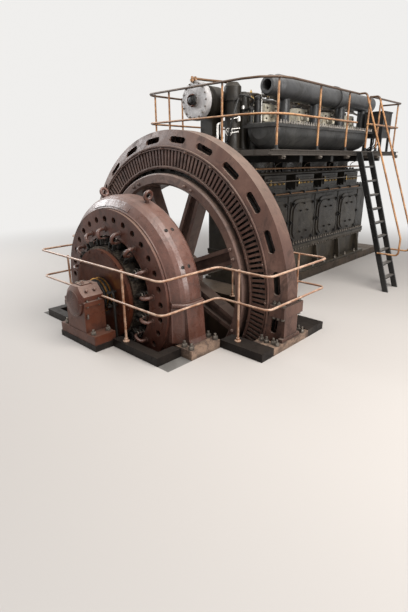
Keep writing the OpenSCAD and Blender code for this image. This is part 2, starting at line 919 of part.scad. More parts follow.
// A plate in an edge channel, open over the cylinders, with a bracket under its edge at each post.
module platform_deck() {
    color("dimgray") {
        difference() {
            block([deck_x0, -deck_w / 2, beam_z], [deck_x0 + deck_l, deck_w / 2, deck_z]);
            block([first_cylinder - deck_hole_w / 2, -deck_hole_w / 2, beam_z - 1],
                [deck_x0 + deck_l + 1, deck_hole_w / 2, deck_z + 1]);
            both_sides()
                block([deck_x0 - 1, -deck_w / 2 - 1, beam_z + 12], [deck_x0 + deck_l + 1, -deck_w / 2 + channel_web, deck_z - 12]);
        }
        for (p = near_posts)
            post_bracket(p[0]);
        mirror([0, 1, 0])
            for (p = rear_posts)
                post_bracket(p[0]);
    }
}

bracket_depth = 58;

// A bracket under the deck's edge, short of the cross beams' ends.
module post_bracket(x) {
    block([x - 45, -deck_w / 2, beam_z - 50], [x + 45, -deck_w / 2 + bracket_depth, beam_z + 1]);
}

rail_gap_x0 = ladder_x - 20;
rail_gap_x1 = ladder_x + ladder_w + 20;
rail_x0 = deck_x0 + rail_inset;
rail_x1 = deck_x1 - rail_inset;
rail_return_y = 860;
post_offset = rail_d + seat;
post_line = rail_y - post_offset;
corner_inset = 52;
// Posts inside the rail on the ladder's side, on the far side and at the generator's end
near_posts = [
    [rail_x0 + 270, -rail_y + 89], [630, -post_line], [1600, -post_line], [rail_gap_x1, -post_line],
    [2900, -post_line], [rail_x1 - corner_inset, -rail_y + corner_inset]
];
rear_posts = [
    [rail_x0 + 180, post_line], [143, post_line], [1100, post_line], [2050, post_line],
    [3000, post_line], [rail_x1 - corner_inset, rail_y - corner_inset]
];
end_posts = [
    [rail_x0 + post_offset, -390], [rail_x0 + post_offset, 745],
    [rail_x1 - post_offset, -rail_return_y], [rail_x1 - post_offset, rail_return_y]
];

module platform_posts() {
    color("chocolate")
        for (p = concat(near_posts, rear_posts, end_posts))
            translate([p[0], p[1], deck_z])
                cylinder(h = rail_height, r = rail_r, $fn = 24);
}

// The rail sweeps round the near corner in a long curve.
long_rail = [
    [rail_gap_x0 + rail_r, -rail_y], [rail_x0 + 480, -rail_y], [rail_x0 + 250, -rail_y + 55],
    [rail_x0 + 65, -rail_y + 250], [rail_x0, -rail_y + 520], [rail_x0, rail_y - 120],
    [rail_x0 + 120, rail_y], [rail_x1, rail_y], [rail_x1, rail_return_y - rail_r]
];
far_rail = [[rail_gap_x1 - rail_r, -rail_y], [rail_x1, -rail_y], [rail_x1, -rail_return_y + rail_r]];

module platform_rails() {
    color("chocolate")
        for (z = [deck_z + rail_height - rail_r, deck_z + rail_height / 2])
            translate([0, 0, z]) {
                pipe_run(long_rail, rail_r, 3 * rail_d);
                pipe_run(far_rail, rail_r, 3 * rail_d);
            }
}

// Ladder

stringer_t = 40;
stringer_w = 90;
tread_d = 80;
tread_t = 25;
ladder_top = deck_z - 20;
ladder_foot_y = -deck_w / 2 - ladder_reach;
ladder_lean = atan2(ladder_reach, ladder_top - floor_z);

module ladder() {
    color("black") {
        for (x = [ladder_x, ladder_x + ladder_w - stringer_t])
            intersection() {
                translate([x, -deck_w / 2 - seat, ladder_top])
                    rotate([-ladder_lean, 0, 0])
                        translate([0, -stringer_w, -2 * ladder_top])
                            cube([stringer_t, stringer_w, 3 * ladder_top]);
                block([x, ladder_foot_y - 200, floor_z], [x + stringer_t, -deck_w / 2 - seat, ladder_top]);
            }
        for (i = [1:rungs])
            translate([ladder_x + stringer_t, 0, floor_z])
                ladder_rung(i * (ladder_top - floor_z) / (rungs + 1));
    }
}

// A flat tread between the stringers.
module ladder_rung(h) {
    y = ladder_foot_y + h * tan(ladder_lean) - stringer_w / 2;
    block([-1, y - tread_d / 2, h - tread_t], [ladder_w - 2 * stringer_t + 1, y + tread_d / 2, h]);
}

handrail_end_h = 700;
handrail_path = [
    [-rail_y - rail_r - seat, deck_z + rail_height - rail_r], [-deck_w / 2 - 90, deck_z + rail_height - rail_r],
    [ladder_foot_y - 190, floor_z + 1000], [ladder_foot_y - 190, floor_z + handrail_end_h],
    [ladder_foot_y + handrail_end_h * tan(ladder_lean) - stringer_w / 2, floor_z + handrail_end_h]
];

module ladder_handrails() {
    color("chocolate")
        for (x = [ladder_x - rail_r - seat, ladder_x + ladder_w + rail_r + seat])
            translate([x, 0, 0])
                rotate([90, 0, 90])
                    pipe_run(handrail_path, rail_r, 2 * rail_d);
}

// Compressor and tank

compressor_y = 240;
compressor_z = deck_z + 740;
cover_x = -580;
cover_t = 90;
cover_r = 285;

module compressor() {
    color("dimgray") {
        translate([cover_x + cover_t, compressor_y, compressor_z])
            rotate([0, 90, 0])
                rotate_extrude($fn = 64)
                    polygon([[0, seat], [200, seat], [200, 160], [240, 180], [240, 400], [190, 430], [190, 520], [0, 520]]);
        block([cover_x + cover_t + 180, compressor_y - 130, deck_z], [cover_x + cover_t + 430, compressor_y + 130, compressor_z - 100]);
    }
}

module compressor_cover() {
    color("silver")
        translate([cover_x, compressor_y, compressor_z])
            rotate([0, 90, 0])
                rotate_extrude($fn = 96)
                    polygon([
                        [0, -40], [60, -40], [60, -15], [90, -15], [90, 0], [cover_r - 20, 0], [cover_r, 15],
                        [cover_r, cover_t], [0, cover_t]
                    ]);
}

module compressor_cylinders() {
    color("dimgray") {
        translate([-157, -180, deck_z])
            stage_cylinder(990, 133);
        translate([140, -155, deck_z])
            stage_cylinder(890, 100);
    }
}

// A stage of the compressor, with flanges below and under its head.
module stage_cylinder(h, r) {
    rotate_extrude($fn = 48)
        polygon([
            [0, 0], [r + 20, 0], [r + 20, 40], [r - 15, 40], [r - 15, h - 260], [r + 10, h - 260], [r + 10, h - 220],
            [r, h - 220], [r, h - 60], [r - 50, h], [0, h]
        ]);
}

tank_y = -rail_y + 140;
tank_w = air_pipe_y - 170 - tank_y;
tank_leg = 270;
tank_top = 765;

module service_tank() {
    color("black")
        translate([tank_x, tank_y, deck_z]) {
            block([0, 0, tank_leg], [tank_l, tank_w, tank_top - 20]);
            block([-12, -12, tank_top - 25], [tank_l + 12, tank_w + 12, tank_top]);
            for (x = [0, tank_l - 40], y = [0, tank_w - 40])
                block([x, y, 0], [x + 40, y + 40, tank_leg]);
        }
}

// Guard rail

guard_front_x = front_wall_x + 40;
guard_side_x = side_x + 90;
guard_end_x = side_x + side_length - 40;
guard_front_y = exciter_pier_outer - 128;
guard_side_y = side_outer;
guard_end_y = 520;
guard_post_offset = guard_d + seat;
guard_half = [
    [guard_end_x, -guard_end_y], [guard_end_x, -guard_side_y], [guard_side_x, -guard_side_y],
    [guard_side_x, -guard_front_y], [guard_front_x, -guard_front_y]
];

// The top pipe passes over the bearing, and the lower pipe stops at the bearing's sides.
module guard_rails() {
    color("chocolate")
        both_sides() {
            translate([0, 0, floor_z + guard_height - guard_r])
                pipe_run(concat(guard_half, [[guard_front_x, -seat / 2]]), guard_r, 3 * guard_d);
            translate([0, 0, floor_z + guard_mid])
                pipe_run(concat(guard_half, [[guard_front_x, -bearing_r - seat]]), guard_r, 3 * guard_d);
        }
}

// A guard rail post from its footing up to the top of the guard rail.
module guard_post(x, y, footing) {
    translate([x, y, footing])
        cylinder(h = floor_z + guard_height - footing, r = guard_r, $fn = 24);
}

module guard_posts() {
    color("chocolate")
        both_sides() {
            guard_post(guard_front_x + guard_post_offset, -bearing_base_w / 2 - 205, floor_z + kerb_height);
            guard_post(guard_side_x + guard_post_offset, -side_outer + 470, floor_z + kerb_height);
            guard_post(guard_end_x - guard_post_offset, -side_outer + 420, floor_z + kerb_height);
            guard_post(guard_end_x - guard_post_offset, -guard_end_y - guard_r, plinth_z);
        }
}

// Rotor

arm_pocket = 60;
arm_flange = 65;

module shaft() {
    color("silver")
        turned(0, [
            [0, bearing_x - bearing_half + bearing_wall + 15], [journal_r, bearing_x - bearing_half + bearing_wall + 15],
            [journal_r, bearing_x + bearing_half + 5], [shaft_r, bearing_x + bearing_half + 25],
            [shaft_r, main_journal_l - 5], [0, main_journal_l - 5]
        ]);
}

// Arms of an I section, cast with the hub and the inner face of the rim.
module rotor_spider() {
    color("rosybrown")
        difference() {
            union() {
                on_shaft(alternator_x - arm_t / 2)
                    linear_extrude(arm_t)
                        intersection() {
                            union() {
                                circle(d = hub_d, $fn = 96);
                                for (i = [0:arms - 1])
                                    rotate([0, 0, (i + 0.5) * 360 / arms])
                                        polygon([[0, -arm_hub_w / 2], [rim_bore_r + 50, -arm_rim_w / 2],
                                            [rim_bore_r + 50, arm_rim_w / 2], [0, arm_hub_w / 2]]);
                            }
                            circle(r = rim_bore_r, $fn = 96);
                        }
                on_shaft(alternator_x - rim_w / 2)
                    cylinder(h = rim_w, d = hub_d - 160, $fn = 96);
                on_shaft(alternator_x - rim_w / 2 - 30)
                    cylinder(h = rim_w + 60, d = shaft_d + 160, $fn = 96);
            }
            for (x = [alternator_x - arm_t / 2 - 1, alternator_x + arm_t / 2 - arm_pocket])
                on_shaft(x)
                    linear_extrude(arm_pocket + 1)
                        for (i = [0:arms - 1])
                            rotate([0, 0, (i + 0.5) * 360 / arms])
                                arm_recess();
            on_shaft(alternator_x - rim_w / 2 - 31)
                cylinder(h = rim_w + 62, r = shaft_r, $fn = 64);
        }
}

module arm_recess() {
    hub_end = hub_d / 2 + 60;
    rim_end = rim_bore_r - 70;
    polygon([
        [hub_end, -arm_hub_w / 2 + arm_flange], [rim_end, -arm_rim_w / 2 + arm_flange - 8],
        [rim_end, arm_rim_w / 2 - arm_flange + 8], [hub_end, arm_hub_w / 2 - arm_flange]
    ]);
}

module rotor_rim() {
    color("rosybrown")
        turned(alternator_x, [[rim_bore_r, -rim_w / 2 + 40], [rim_bore_r + 30, -rim_w / 2], [rim_r - 20, -rim_w / 2],
            [rim_r, -rim_w / 2 + 20], [rim_r, rim_w / 2 - 20], [rim_r - 20, rim_w / 2],
            [rim_bore_r + 30, rim_w / 2], [rim_bore_r, rim_w / 2 - 40]]);
}

module rotor_poles() {
    color("dimgray")
        on_shaft(alternator_x - core_half)
            linear_extrude(2 * core_half)
                intersection() {
                    difference() {
                        union() {
                            circle(r = rim_r + 25, $fn = 96);
                            for (i = [0:poles - 1])
                                rotate([0, 0, i * 360 / poles])
                                    translate([rim_r - 100, -60])
                                        square([300, 120]);
                        }
                        circle(r = rim_r, $fn = 96);
                    }
                    circle(r = pole_r, $fn = 96);
                }
}

module armature() {
    color("dimgray")
        turned(armature_x, [[shaft_r, 0], [armature_r, 0], [armature_r, armature_l], [shaft_r, armature_l]]);
}

module commutator() {
    color("darkslategray")
        turned(commutator_x, [[shaft_r, 0], [commutator_r, 0], [commutator_r, armature_x - commutator_x],
            [shaft_r, armature_x - commutator_x]]);
}

module commutator_cover() {
    color("peru")
        turned(commutator_x, [[slip_hub_r, 0], [slip_hub_r, -10], [commutator_r - 80, -60], [commutator_r - 30, -60],
            [commutator_r - 30, 0]]);
}

module slip_rings() {
    color("gold")
        turned(commutator_x, [[shaft_r, 0], [shaft_r, -150], [slip_hub_r, -150],
            [slip_hub_r, -132], [slip_ring_r, -132], [slip_ring_r, -117],
            [slip_hub_r, -117], [slip_hub_r, -72], [slip_ring_r, -72],
            [slip_ring_r, -57], [slip_hub_r, -57], [slip_hub_r, 0]]);
}

engine_foundation();
side_foundations();
exciter_piers();
front_foundation();
kerbs();
alternator_soles();
exciter_soles();
bearing_pedestal();
bearing_cap();
exciter_frame();
exciter_shield();
exciter_poles();
brush_gear();
lifting_eyes();
stator_frame();
stator_core();
stator_windings();
shield_exciter_side();
shield_engine_side();
bedplate();
crankcase();
crankcase_doors();
pump_row();
cylinder_jackets();
cylinder_heads();
exhaust_trough();
air_pipe();
fuel_pipes();
platform_beams();
platform_deck();
platform_posts();
platform_rails();
ladder();
ladder_handrails();
compressor();
compressor_cover();
compressor_cylinders();
service_tank();
guard_posts();
guard_rails();
shaft();
rotor_spider();
rotor_rim();
rotor_poles();
armature();
commutator();
commutator_cover();
slip_rings();
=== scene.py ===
"""Stationary generating set: paints, fasteners, valve gear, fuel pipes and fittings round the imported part."""
import random
from math import atan2, copysign, cos, pi, radians, sin, tan

import bmesh
import bpy
from mathutils import Matrix, Vector


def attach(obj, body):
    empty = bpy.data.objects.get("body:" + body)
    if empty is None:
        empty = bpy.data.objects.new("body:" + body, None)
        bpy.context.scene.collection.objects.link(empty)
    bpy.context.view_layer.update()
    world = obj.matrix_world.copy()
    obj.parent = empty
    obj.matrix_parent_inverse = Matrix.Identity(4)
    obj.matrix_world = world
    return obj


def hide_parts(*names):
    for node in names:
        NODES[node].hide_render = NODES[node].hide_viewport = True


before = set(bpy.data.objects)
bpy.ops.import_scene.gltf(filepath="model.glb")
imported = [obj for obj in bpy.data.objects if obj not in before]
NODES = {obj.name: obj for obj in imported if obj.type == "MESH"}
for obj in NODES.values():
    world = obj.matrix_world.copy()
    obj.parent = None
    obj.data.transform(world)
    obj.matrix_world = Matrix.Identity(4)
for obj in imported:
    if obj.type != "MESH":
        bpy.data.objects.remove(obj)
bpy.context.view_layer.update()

# Places that the fittings share with the part, in metres
HALL_FLOOR = 1.75
SHAFT_Z = 2.34
EXCITER_X = -2.5
BEARING_X = -2.97
ALTERNATOR_X = -1.28
EXCITER_R = 1.3
STATOR_FACE = ALTERNATOR_X - 0.213
CYLINDERS = [0.65, 1.63, 2.61, 3.59]
CRANKCASE_Y = 0.48
CRANKCASE_END = 4.48
BEDPLATE_Z = 2.47
CRANKCASE_Z = 3.54
CYLINDER_Z = 4.54
DECK_Z = 4.2
DECK_Y = 1.33
DOOR_PIPE_Z = 3.478
DECK_PIPE_Z = 3.925
AIR_PIPE_Y = -0.6
AIR_PIPE_Z = 5.145

# The near and the far side of the plant, and directions along it
SIDES = (-1, 1)
DOWN = (0, 0, -1)
TO_EXCITER = (-1, 0, 0)

# Tones that several finishes share
# The dark tone below is that of dirt and of insulation gaps, and also of the painted shade in castings' corners
GRIME_AND_SHADE = (0.012, 0.010, 0.009)


# Shader building

class Value:
    """A number, colour or vector that varies over a surface. Arithmetic on numbers adds Math nodes."""

    def __init__(self, finish, socket):
        self.finish = finish
        self.socket = socket

    def math(self, operation, *others, first=None):
        terms = [self if first is None else first, *others]
        return self.finish.add("ShaderNodeMath", {"operation": operation}, dict(enumerate(terms)))

    def __add__(self, other):
        return self.math("ADD", other)

    def __sub__(self, other):
        return self.math("SUBTRACT", other)

    def __rsub__(self, other):
        return self.math("SUBTRACT", self, first=other)

    def __mul__(self, other):
        return self.math("MULTIPLY", other)

    def __pow__(self, other):
        return self.math("POWER", other)

    __radd__ = __add__
    __rmul__ = __mul__

    def above(self, low, high):
        """0 below low, 1 above high, and smooth between them."""
        return self.finish.add(
            "ShaderNodeMapRange", {"interpolation_type": "SMOOTHSTEP"},
            {"Value": self, "From Min": low, "From Max": high, "To Min": 0.0, "To Max": 1.0})

    def clamped(self):
        return self.finish.add("ShaderNodeClamp", {}, {"Value": self})


class Finish:
    """One material, with its nodes added by the expressions that use them."""

    def __init__(self, name):
        self.material = bpy.data.materials.new(name)
        self.material.use_nodes = True
        self.tree = self.material.node_tree
        self.tree.nodes.clear()
        self.principled = self.tree.nodes.new("ShaderNodeBsdfPrincipled")
        output = self.tree.nodes.new("ShaderNodeOutputMaterial")
        self.tree.links.new(self.principled.outputs[0], output.inputs[0])

    def add(self, kind, settings=None, inputs=None, output=0):
        node = self.tree.nodes.new(kind)
        for key, value in (settings or {}).items():
            setattr(node, key, value)
        for key, value in (inputs or {}).items():
            self.put(node.inputs[key], value)
        return Value(self, node.outputs[output])

    def put(self, socket, value):
        if isinstance(value, Value):
            self.tree.links.new(value.socket, socket)
        elif socket.type == "RGBA" and len(value) == 3:
            socket.default_value = (*value, 1)
        else:
            socket.default_value = value

    def place(self, scale=(1, 1, 1)):
        spot = self.add("ShaderNodeTexCoord", output="Object")
        if scale == (1, 1, 1):
            return spot
        return self.add("ShaderNodeVectorMath", {"operation": "MULTIPLY"}, {0: spot, 1: scale})

    def noise(self, size, detail=3, rough=0.55, twist=0.0, scale=(1, 1, 1)):
        return self.add("ShaderNodeTexNoise", {}, {
            "Vector": self.place(scale), "Scale": size, "Detail": detail, "Roughness": rough, "Distortion": twist})

    def axis(self, which, source=None):
        return self.add("ShaderNodeSeparateXYZ", {}, {0: source or self.place()}, output="XYZ".index(which))

    def facing_up(self):
        return self.axis("Z", self.add("ShaderNodeNewGeometry", output="Normal"))

    def crevice(self, reach):
        """1 in open places, down to 0 in corners."""
        return self.add("ShaderNodeAmbientOcclusion", {"samples": 4}, {"Distance": reach}, output="AO")

    def edge(self, reach):
        """1 on outer and inner edges, 0 on flat places."""
        rounded = self.add("ShaderNodeBevel", {"samples": 4}, {"Radius": reach})
        flat = self.add("ShaderNodeNewGeometry", output="Normal")
        alike = self.add("ShaderNodeVectorMath", {"operation": "DOT_PRODUCT"}, {0: rounded, 1: flat}, output="Value")
        return (1 - alike).above(0.02, 0.16)

    def mix(self, amount, a, b):
        return self.add("ShaderNodeMix", {"data_type": "RGBA"}, {"Factor": amount, 6: a, 7: b}, output=2)

    def wear(self, **sockets):
        """Sets the shader's own sockets, linked or constant."""
        for name, value in sockets.items():
            self.put(self.principled.inputs[name.replace("_", " ")], value)

    def bump(self, height, depth):
        self.wear(Normal=self.add("ShaderNodeBump", {}, {"Height": height, "Distance": depth}))


def painted_iron(name, colour, faded, dusty, bare, gloss, dust, shine=0.5, cast=0.0012, shaded_below=None):
    """Old brushed paint on castings: faded clouds, dark stains, dust on top, dirt and painted shade in corners, and
    chipped edges.

    cast is the depth of the casting's unevenness, and the last argument gives the heights below which painted shade
    darkens the underside, fading out between them.
    """
    f = Finish(name)
    cloud = f.noise(1.3, 4, 0.6, 0.4).above(0.40, 0.62)
    patch = f.noise(6.5, 5, 0.65, 0.6)
    stain = f.noise(2.7, 6, 0.72, 1.4).above(0.50, 0.64)
    wave = f.noise(4.4, 2, 0.4, 0.6)
    streak = f.noise(5.0, 4, 0.6, 0.0, (1, 1, 0.13)).above(0.48, 0.72)
    grain = f.noise(160, 3, 0.6)
    lumps = f.noise(38, 3, 0.5)
    up = f.facing_up()
    corner_shade = 1 - f.crevice(0.09)
    tone = f.mix(cloud * 0.8, colour, faded)
    tone = f.mix(patch.above(0.52, 0.70) * 0.45, tone, faded)
    speck = f.noise(48, 4, 0.75).above(0.57, 0.70)
    tone = f.mix((streak * 0.35 + stain * 0.55 + speck * 0.45).clamped(), tone, bare)
    settled = (up.above(0.25, 0.98) * (patch * 0.9 + 0.25) * dust).clamped()
    tone = f.mix(settled, tone, dusty)
    # Painted shade: darker in corners and crevices from ambient occlusion, mixed with patches of dirt
    shade_and_grime = (corner_shade * 0.95 + patch.above(0.56, 0.8) * 0.12).clamped()
    tone = f.mix(shade_and_grime * 0.8, tone, GRIME_AND_SHADE)
    chipped = f.edge(0.007) * (patch * 1.5 + grain * 0.9 - 0.75).clamped() * 0.5
    tone = f.mix(chipped, tone, bare)
    # Painted shade: darker below the given heights, on the underside that gets no light
    if shaded_below:
        tone = f.mix((1 - f.axis("Z").above(*shaded_below)) * 0.8, tone, (0.006, 0.006, 0.006))
    rough = gloss + (patch - 0.4) * 0.5 + settled * 0.35 + shade_and_grime * 0.25 + stain * 0.14 + grain * 0.06
    f.wear(Base_Color=tone, Roughness=rough.clamped(), Metallic=chipped * 0.3, Specular_IOR_Level=shine)
    f.bump(lumps * 0.9 + grain * 0.3 + patch * 2.2 + wave * 4.5, cast)
    return f.material


def pipe_paint(name, colour, worn, bare, gloss, darker_above=None):
    """Paint on hand rails: rubbed, with a painted highlight on top, painted shade underneath, and darker above a given
    height.
    """
    f = Finish(name)
    rub = f.noise(9, 4, 0.6, 0.4)
    speck = f.noise(120, 3, 0.6)
    tone = f.mix(rub.above(0.42, 0.62), colour, worn)
    chipped = (speck * 0.8 + rub * 0.6).above(0.86, 0.96)
    tone = f.mix(chipped, tone, bare)
    up = f.facing_up()
    # Painted highlight: pale on top faces
    tone = f.mix(up.above(0.35, 0.95) * 0.45, tone, (0.62, 0.47, 0.37))
    # Painted shade: the underside darkened toward the bare tone
    tone = f.mix((1 - up.above(-0.6, 0.15)) * 0.8, tone, bare)
    if darker_above:
        # Darker above the given heights
        tone = f.mix(f.axis("Z").above(*darker_above) * 0.85, tone, (0.030, 0.017, 0.010))
    f.wear(Base_Color=tone, Roughness=gloss + rub * 0.22, Metallic=chipped * 0.4)
    f.bump(speck * 0.4 + rub, 0.0006)
    return f.material


def bare_metal(name, colour, stain, gloss=0.28, stained=0.4):
    """Machined or rubbed metal with oil stains and painted shade in its corners."""
    f = Finish(name)
    smear = f.noise(11, 5, 0.65, 0.7)
    scratch = f.noise(60, 3, 0.7, 0.0, (1, 6, 6))
    corner_shade = 1 - f.crevice(0.05)
    # Oil stains, plus painted shade in corners in the stained tone
    stain_and_shade = (smear.above(0.42, 0.72) * stained + corner_shade * 0.8).clamped()
    f.wear(Base_Color=f.mix(stain_and_shade, colour, stain), Roughness=gloss + stain_and_shade * 0.3 + scratch * 0.12,
           Metallic=1 - stain_and_shade * 0.55)
    f.bump(scratch, 0.0003)
    return f.material


def rusty_sole(name):
    """Thick old oil, rust and dust on the sole plates, with painted shade in the corners."""
    f = Finish(name)
    cloud = f.noise(5, 6, 0.7, 0.8)
    pits = f.noise(70, 4, 0.7)
    tone = f.mix(cloud.above(0.4, 0.58), (0.080, 0.050, 0.036), (0.25, 0.165, 0.115))
    tone = f.mix(pits.above(0.56, 0.72) * 0.6, tone, (0.30, 0.235, 0.18))
    # Painted shade: darker in corners and crevices
    tone = f.mix((1 - f.crevice(0.06)) * 0.9, tone, (0.02, 0.015, 0.012))
    f.wear(Base_Color=tone, Roughness=0.72 + pits * 0.2)
    f.bump(cloud * 1.2 + pits, 0.004)
    return f.material


def concrete(name):
    """Stained concrete with grit and small holes."""
    f = Finish(name)
    cloud = f.noise(1.8, 6, 0.65, 0.4)
    grit = f.noise(90, 4, 0.7)
    holes = f.noise(24, 2, 0.5).above(0.66, 0.72)
    tone = f.mix(cloud.above(0.35, 0.65), (0.17, 0.160, 0.147), (0.115, 0.107, 0.097))
    tone = f.mix(f.noise(3, 4, 0.6, 0.0, (1, 1, 0.15)).above(0.55, 0.75) * 0.5, tone, (0.06, 0.055, 0.047))
    tone = f.mix(grit.above(0.5, 0.8) * 0.3, tone, (0.25, 0.24, 0.225))
    f.wear(Base_Color=tone, Roughness=0.86)
    f.bump(grit * 0.5 + cloud - holes, 0.004)
    return f.material


def cream_enamel(name):
    """Cream enamel, yellowed and streaked with oil, with painted shade in the corners."""
    f = Finish(name)
    stain = f.noise(7, 5, 0.65, 0.8)
    run = f.noise(9, 4, 0.6, 0.0, (1, 1, 0.2)).above(0.5, 0.7)
    corner_shade = 1 - f.crevice(0.07)
    tone = f.mix(stain.above(0.45, 0.66), (0.74, 0.69, 0.56), (0.50, 0.41, 0.27))
    # Oil runs, plus painted shade in corners
    tone = f.mix((run * 0.45 + corner_shade * 0.8).clamped(), tone, (0.10, 0.075, 0.05))
    f.wear(Base_Color=tone, Roughness=0.34 + stain * 0.25)
    f.bump(f.noise(50, 3), 0.0008)
    return f.material


def deck_plate(name):
    """Chequered plate: short raised bars in two directions, dusty and worn, with painted shade in the corners."""
    f = Finish(name)
    x, y = f.axis("X") * 24, f.axis("Y") * 24
    one = (x + y).math("SINE").above(0.72, 0.95) * (x - y).math("SINE").above(-0.1, 0.5)
    two = (x - y).math("SINE").above(0.72, 0.95) * (1 - (x + y).math("SINE").above(-0.6, 0.0))
    bars = (one + two).clamped()
    dirt = f.noise(4, 5, 0.65, 0.5)
    tone = f.mix(dirt.above(0.4, 0.65), (0.05, 0.046, 0.042), (0.14, 0.125, 0.105))
    tone = f.mix(bars * 0.5, tone, (0.24, 0.225, 0.2))
    # Painted shade: darker in corners and crevices
    tone = f.mix((1 - f.crevice(0.08)) * 0.85, tone, (0.015, 0.013, 0.012))
    tone = f.mix(1 - f.facing_up().above(0.3, 0.7), tone, (0.048, 0.038, 0.030))
    f.wear(Base_Color=tone, Roughness=0.55 - bars * 0.12 + dirt * 0.2, Metallic=bars * 0.35)
    f.bump(bars + dirt * 0.2, 0.002)
    return f.material


def commutator_copper(name):
    """Narrow copper bars with dark insulation between them."""
    f = Finish(name)
    y, z = f.axis("Y"), f.axis("Z") - SHAFT_Z
    bars = (y.math("ARCTAN2", z) * 288).math("SINE")
    gap = bars.above(0.86, 0.97)
    film = f.noise(30, 4, 0.6, 0.0, (0.4, 1, 1))
    tone = f.mix(film.above(0.35, 0.6), (0.15, 0.12, 0.09), (0.030, 0.022, 0.017))
    tone = f.mix(gap, tone, GRIME_AND_SHADE)
    f.wear(Base_Color=tone, Roughness=0.34 + gap * 0.4 + film * 0.1, Metallic=0.8 - gap * 0.8)
    f.bump(1 - gap, 0.0012)
    return f.material


def ring_brass(name):
    """Brass worn bright where the brushes run, and black insulation between the rings."""
    f = Finish(name)
    y, z = f.axis("Y"), f.axis("Z") - SHAFT_Z
    out = ((y * y + z * z) ** 0.5).above(0.226, 0.231)
    smear = f.noise(26, 4, 0.6)
    tone = f.mix(smear.above(0.4, 0.65), (0.85, 0.47, 0.12), (0.50, 0.25, 0.07))
    f.wear(Base_Color=f.mix(out, GRIME_AND_SHADE, tone), Roughness=0.55 - out * 0.32 + smear * 0.1, Metallic=out)
    f.bump(smear, 0.0002)
    return f.material


def taped_winding(name):
    """Varnished cotton tape, wound round the bars."""
    f = Finish(name)
    y, z = f.axis("Y"), f.axis("Z") - SHAFT_Z
    lap = (y.math("ARCTAN2", z) * 420 + f.axis("X") * 160).math("SINE")
    dust = f.noise(14, 4, 0.6)
    tone = f.mix(dust.above(0.4, 0.7), (0.012, 0.009, 0.007), (0.045, 0.033, 0.025))
    f.wear(Base_Color=tone, Roughness=0.6 + lap * 0.1)
    f.bump(lap * 0.6 + dust, 0.0015)
    return f.material


def aluminium_paint(name):
    """Aluminium paint, cloudy and soiled, with painted shade in the corners."""
    f = Finish(name)
    cloud = f.noise(6, 5, 0.65, 0.6)
    fleck = f.noise(300, 2, 0.5)
    corner_shade = 1 - f.crevice(0.06)
    tone = f.mix(cloud.above(0.4, 0.7), (0.52, 0.50, 0.495), (0.25, 0.235, 0.23))
    # Soiled patches, plus painted shade in corners
    tone = f.mix((corner_shade * 0.9 + cloud.above(0.62, 0.8) * 0.4).clamped(), tone, (0.09, 0.075, 0.06))
    f.wear(Base_Color=tone, Roughness=0.42 + fleck * 0.2, Metallic=0.25 - corner_shade * 0.2)
    f.bump(cloud * 2 + fleck * 0.3, 0.0012)
    return f.material


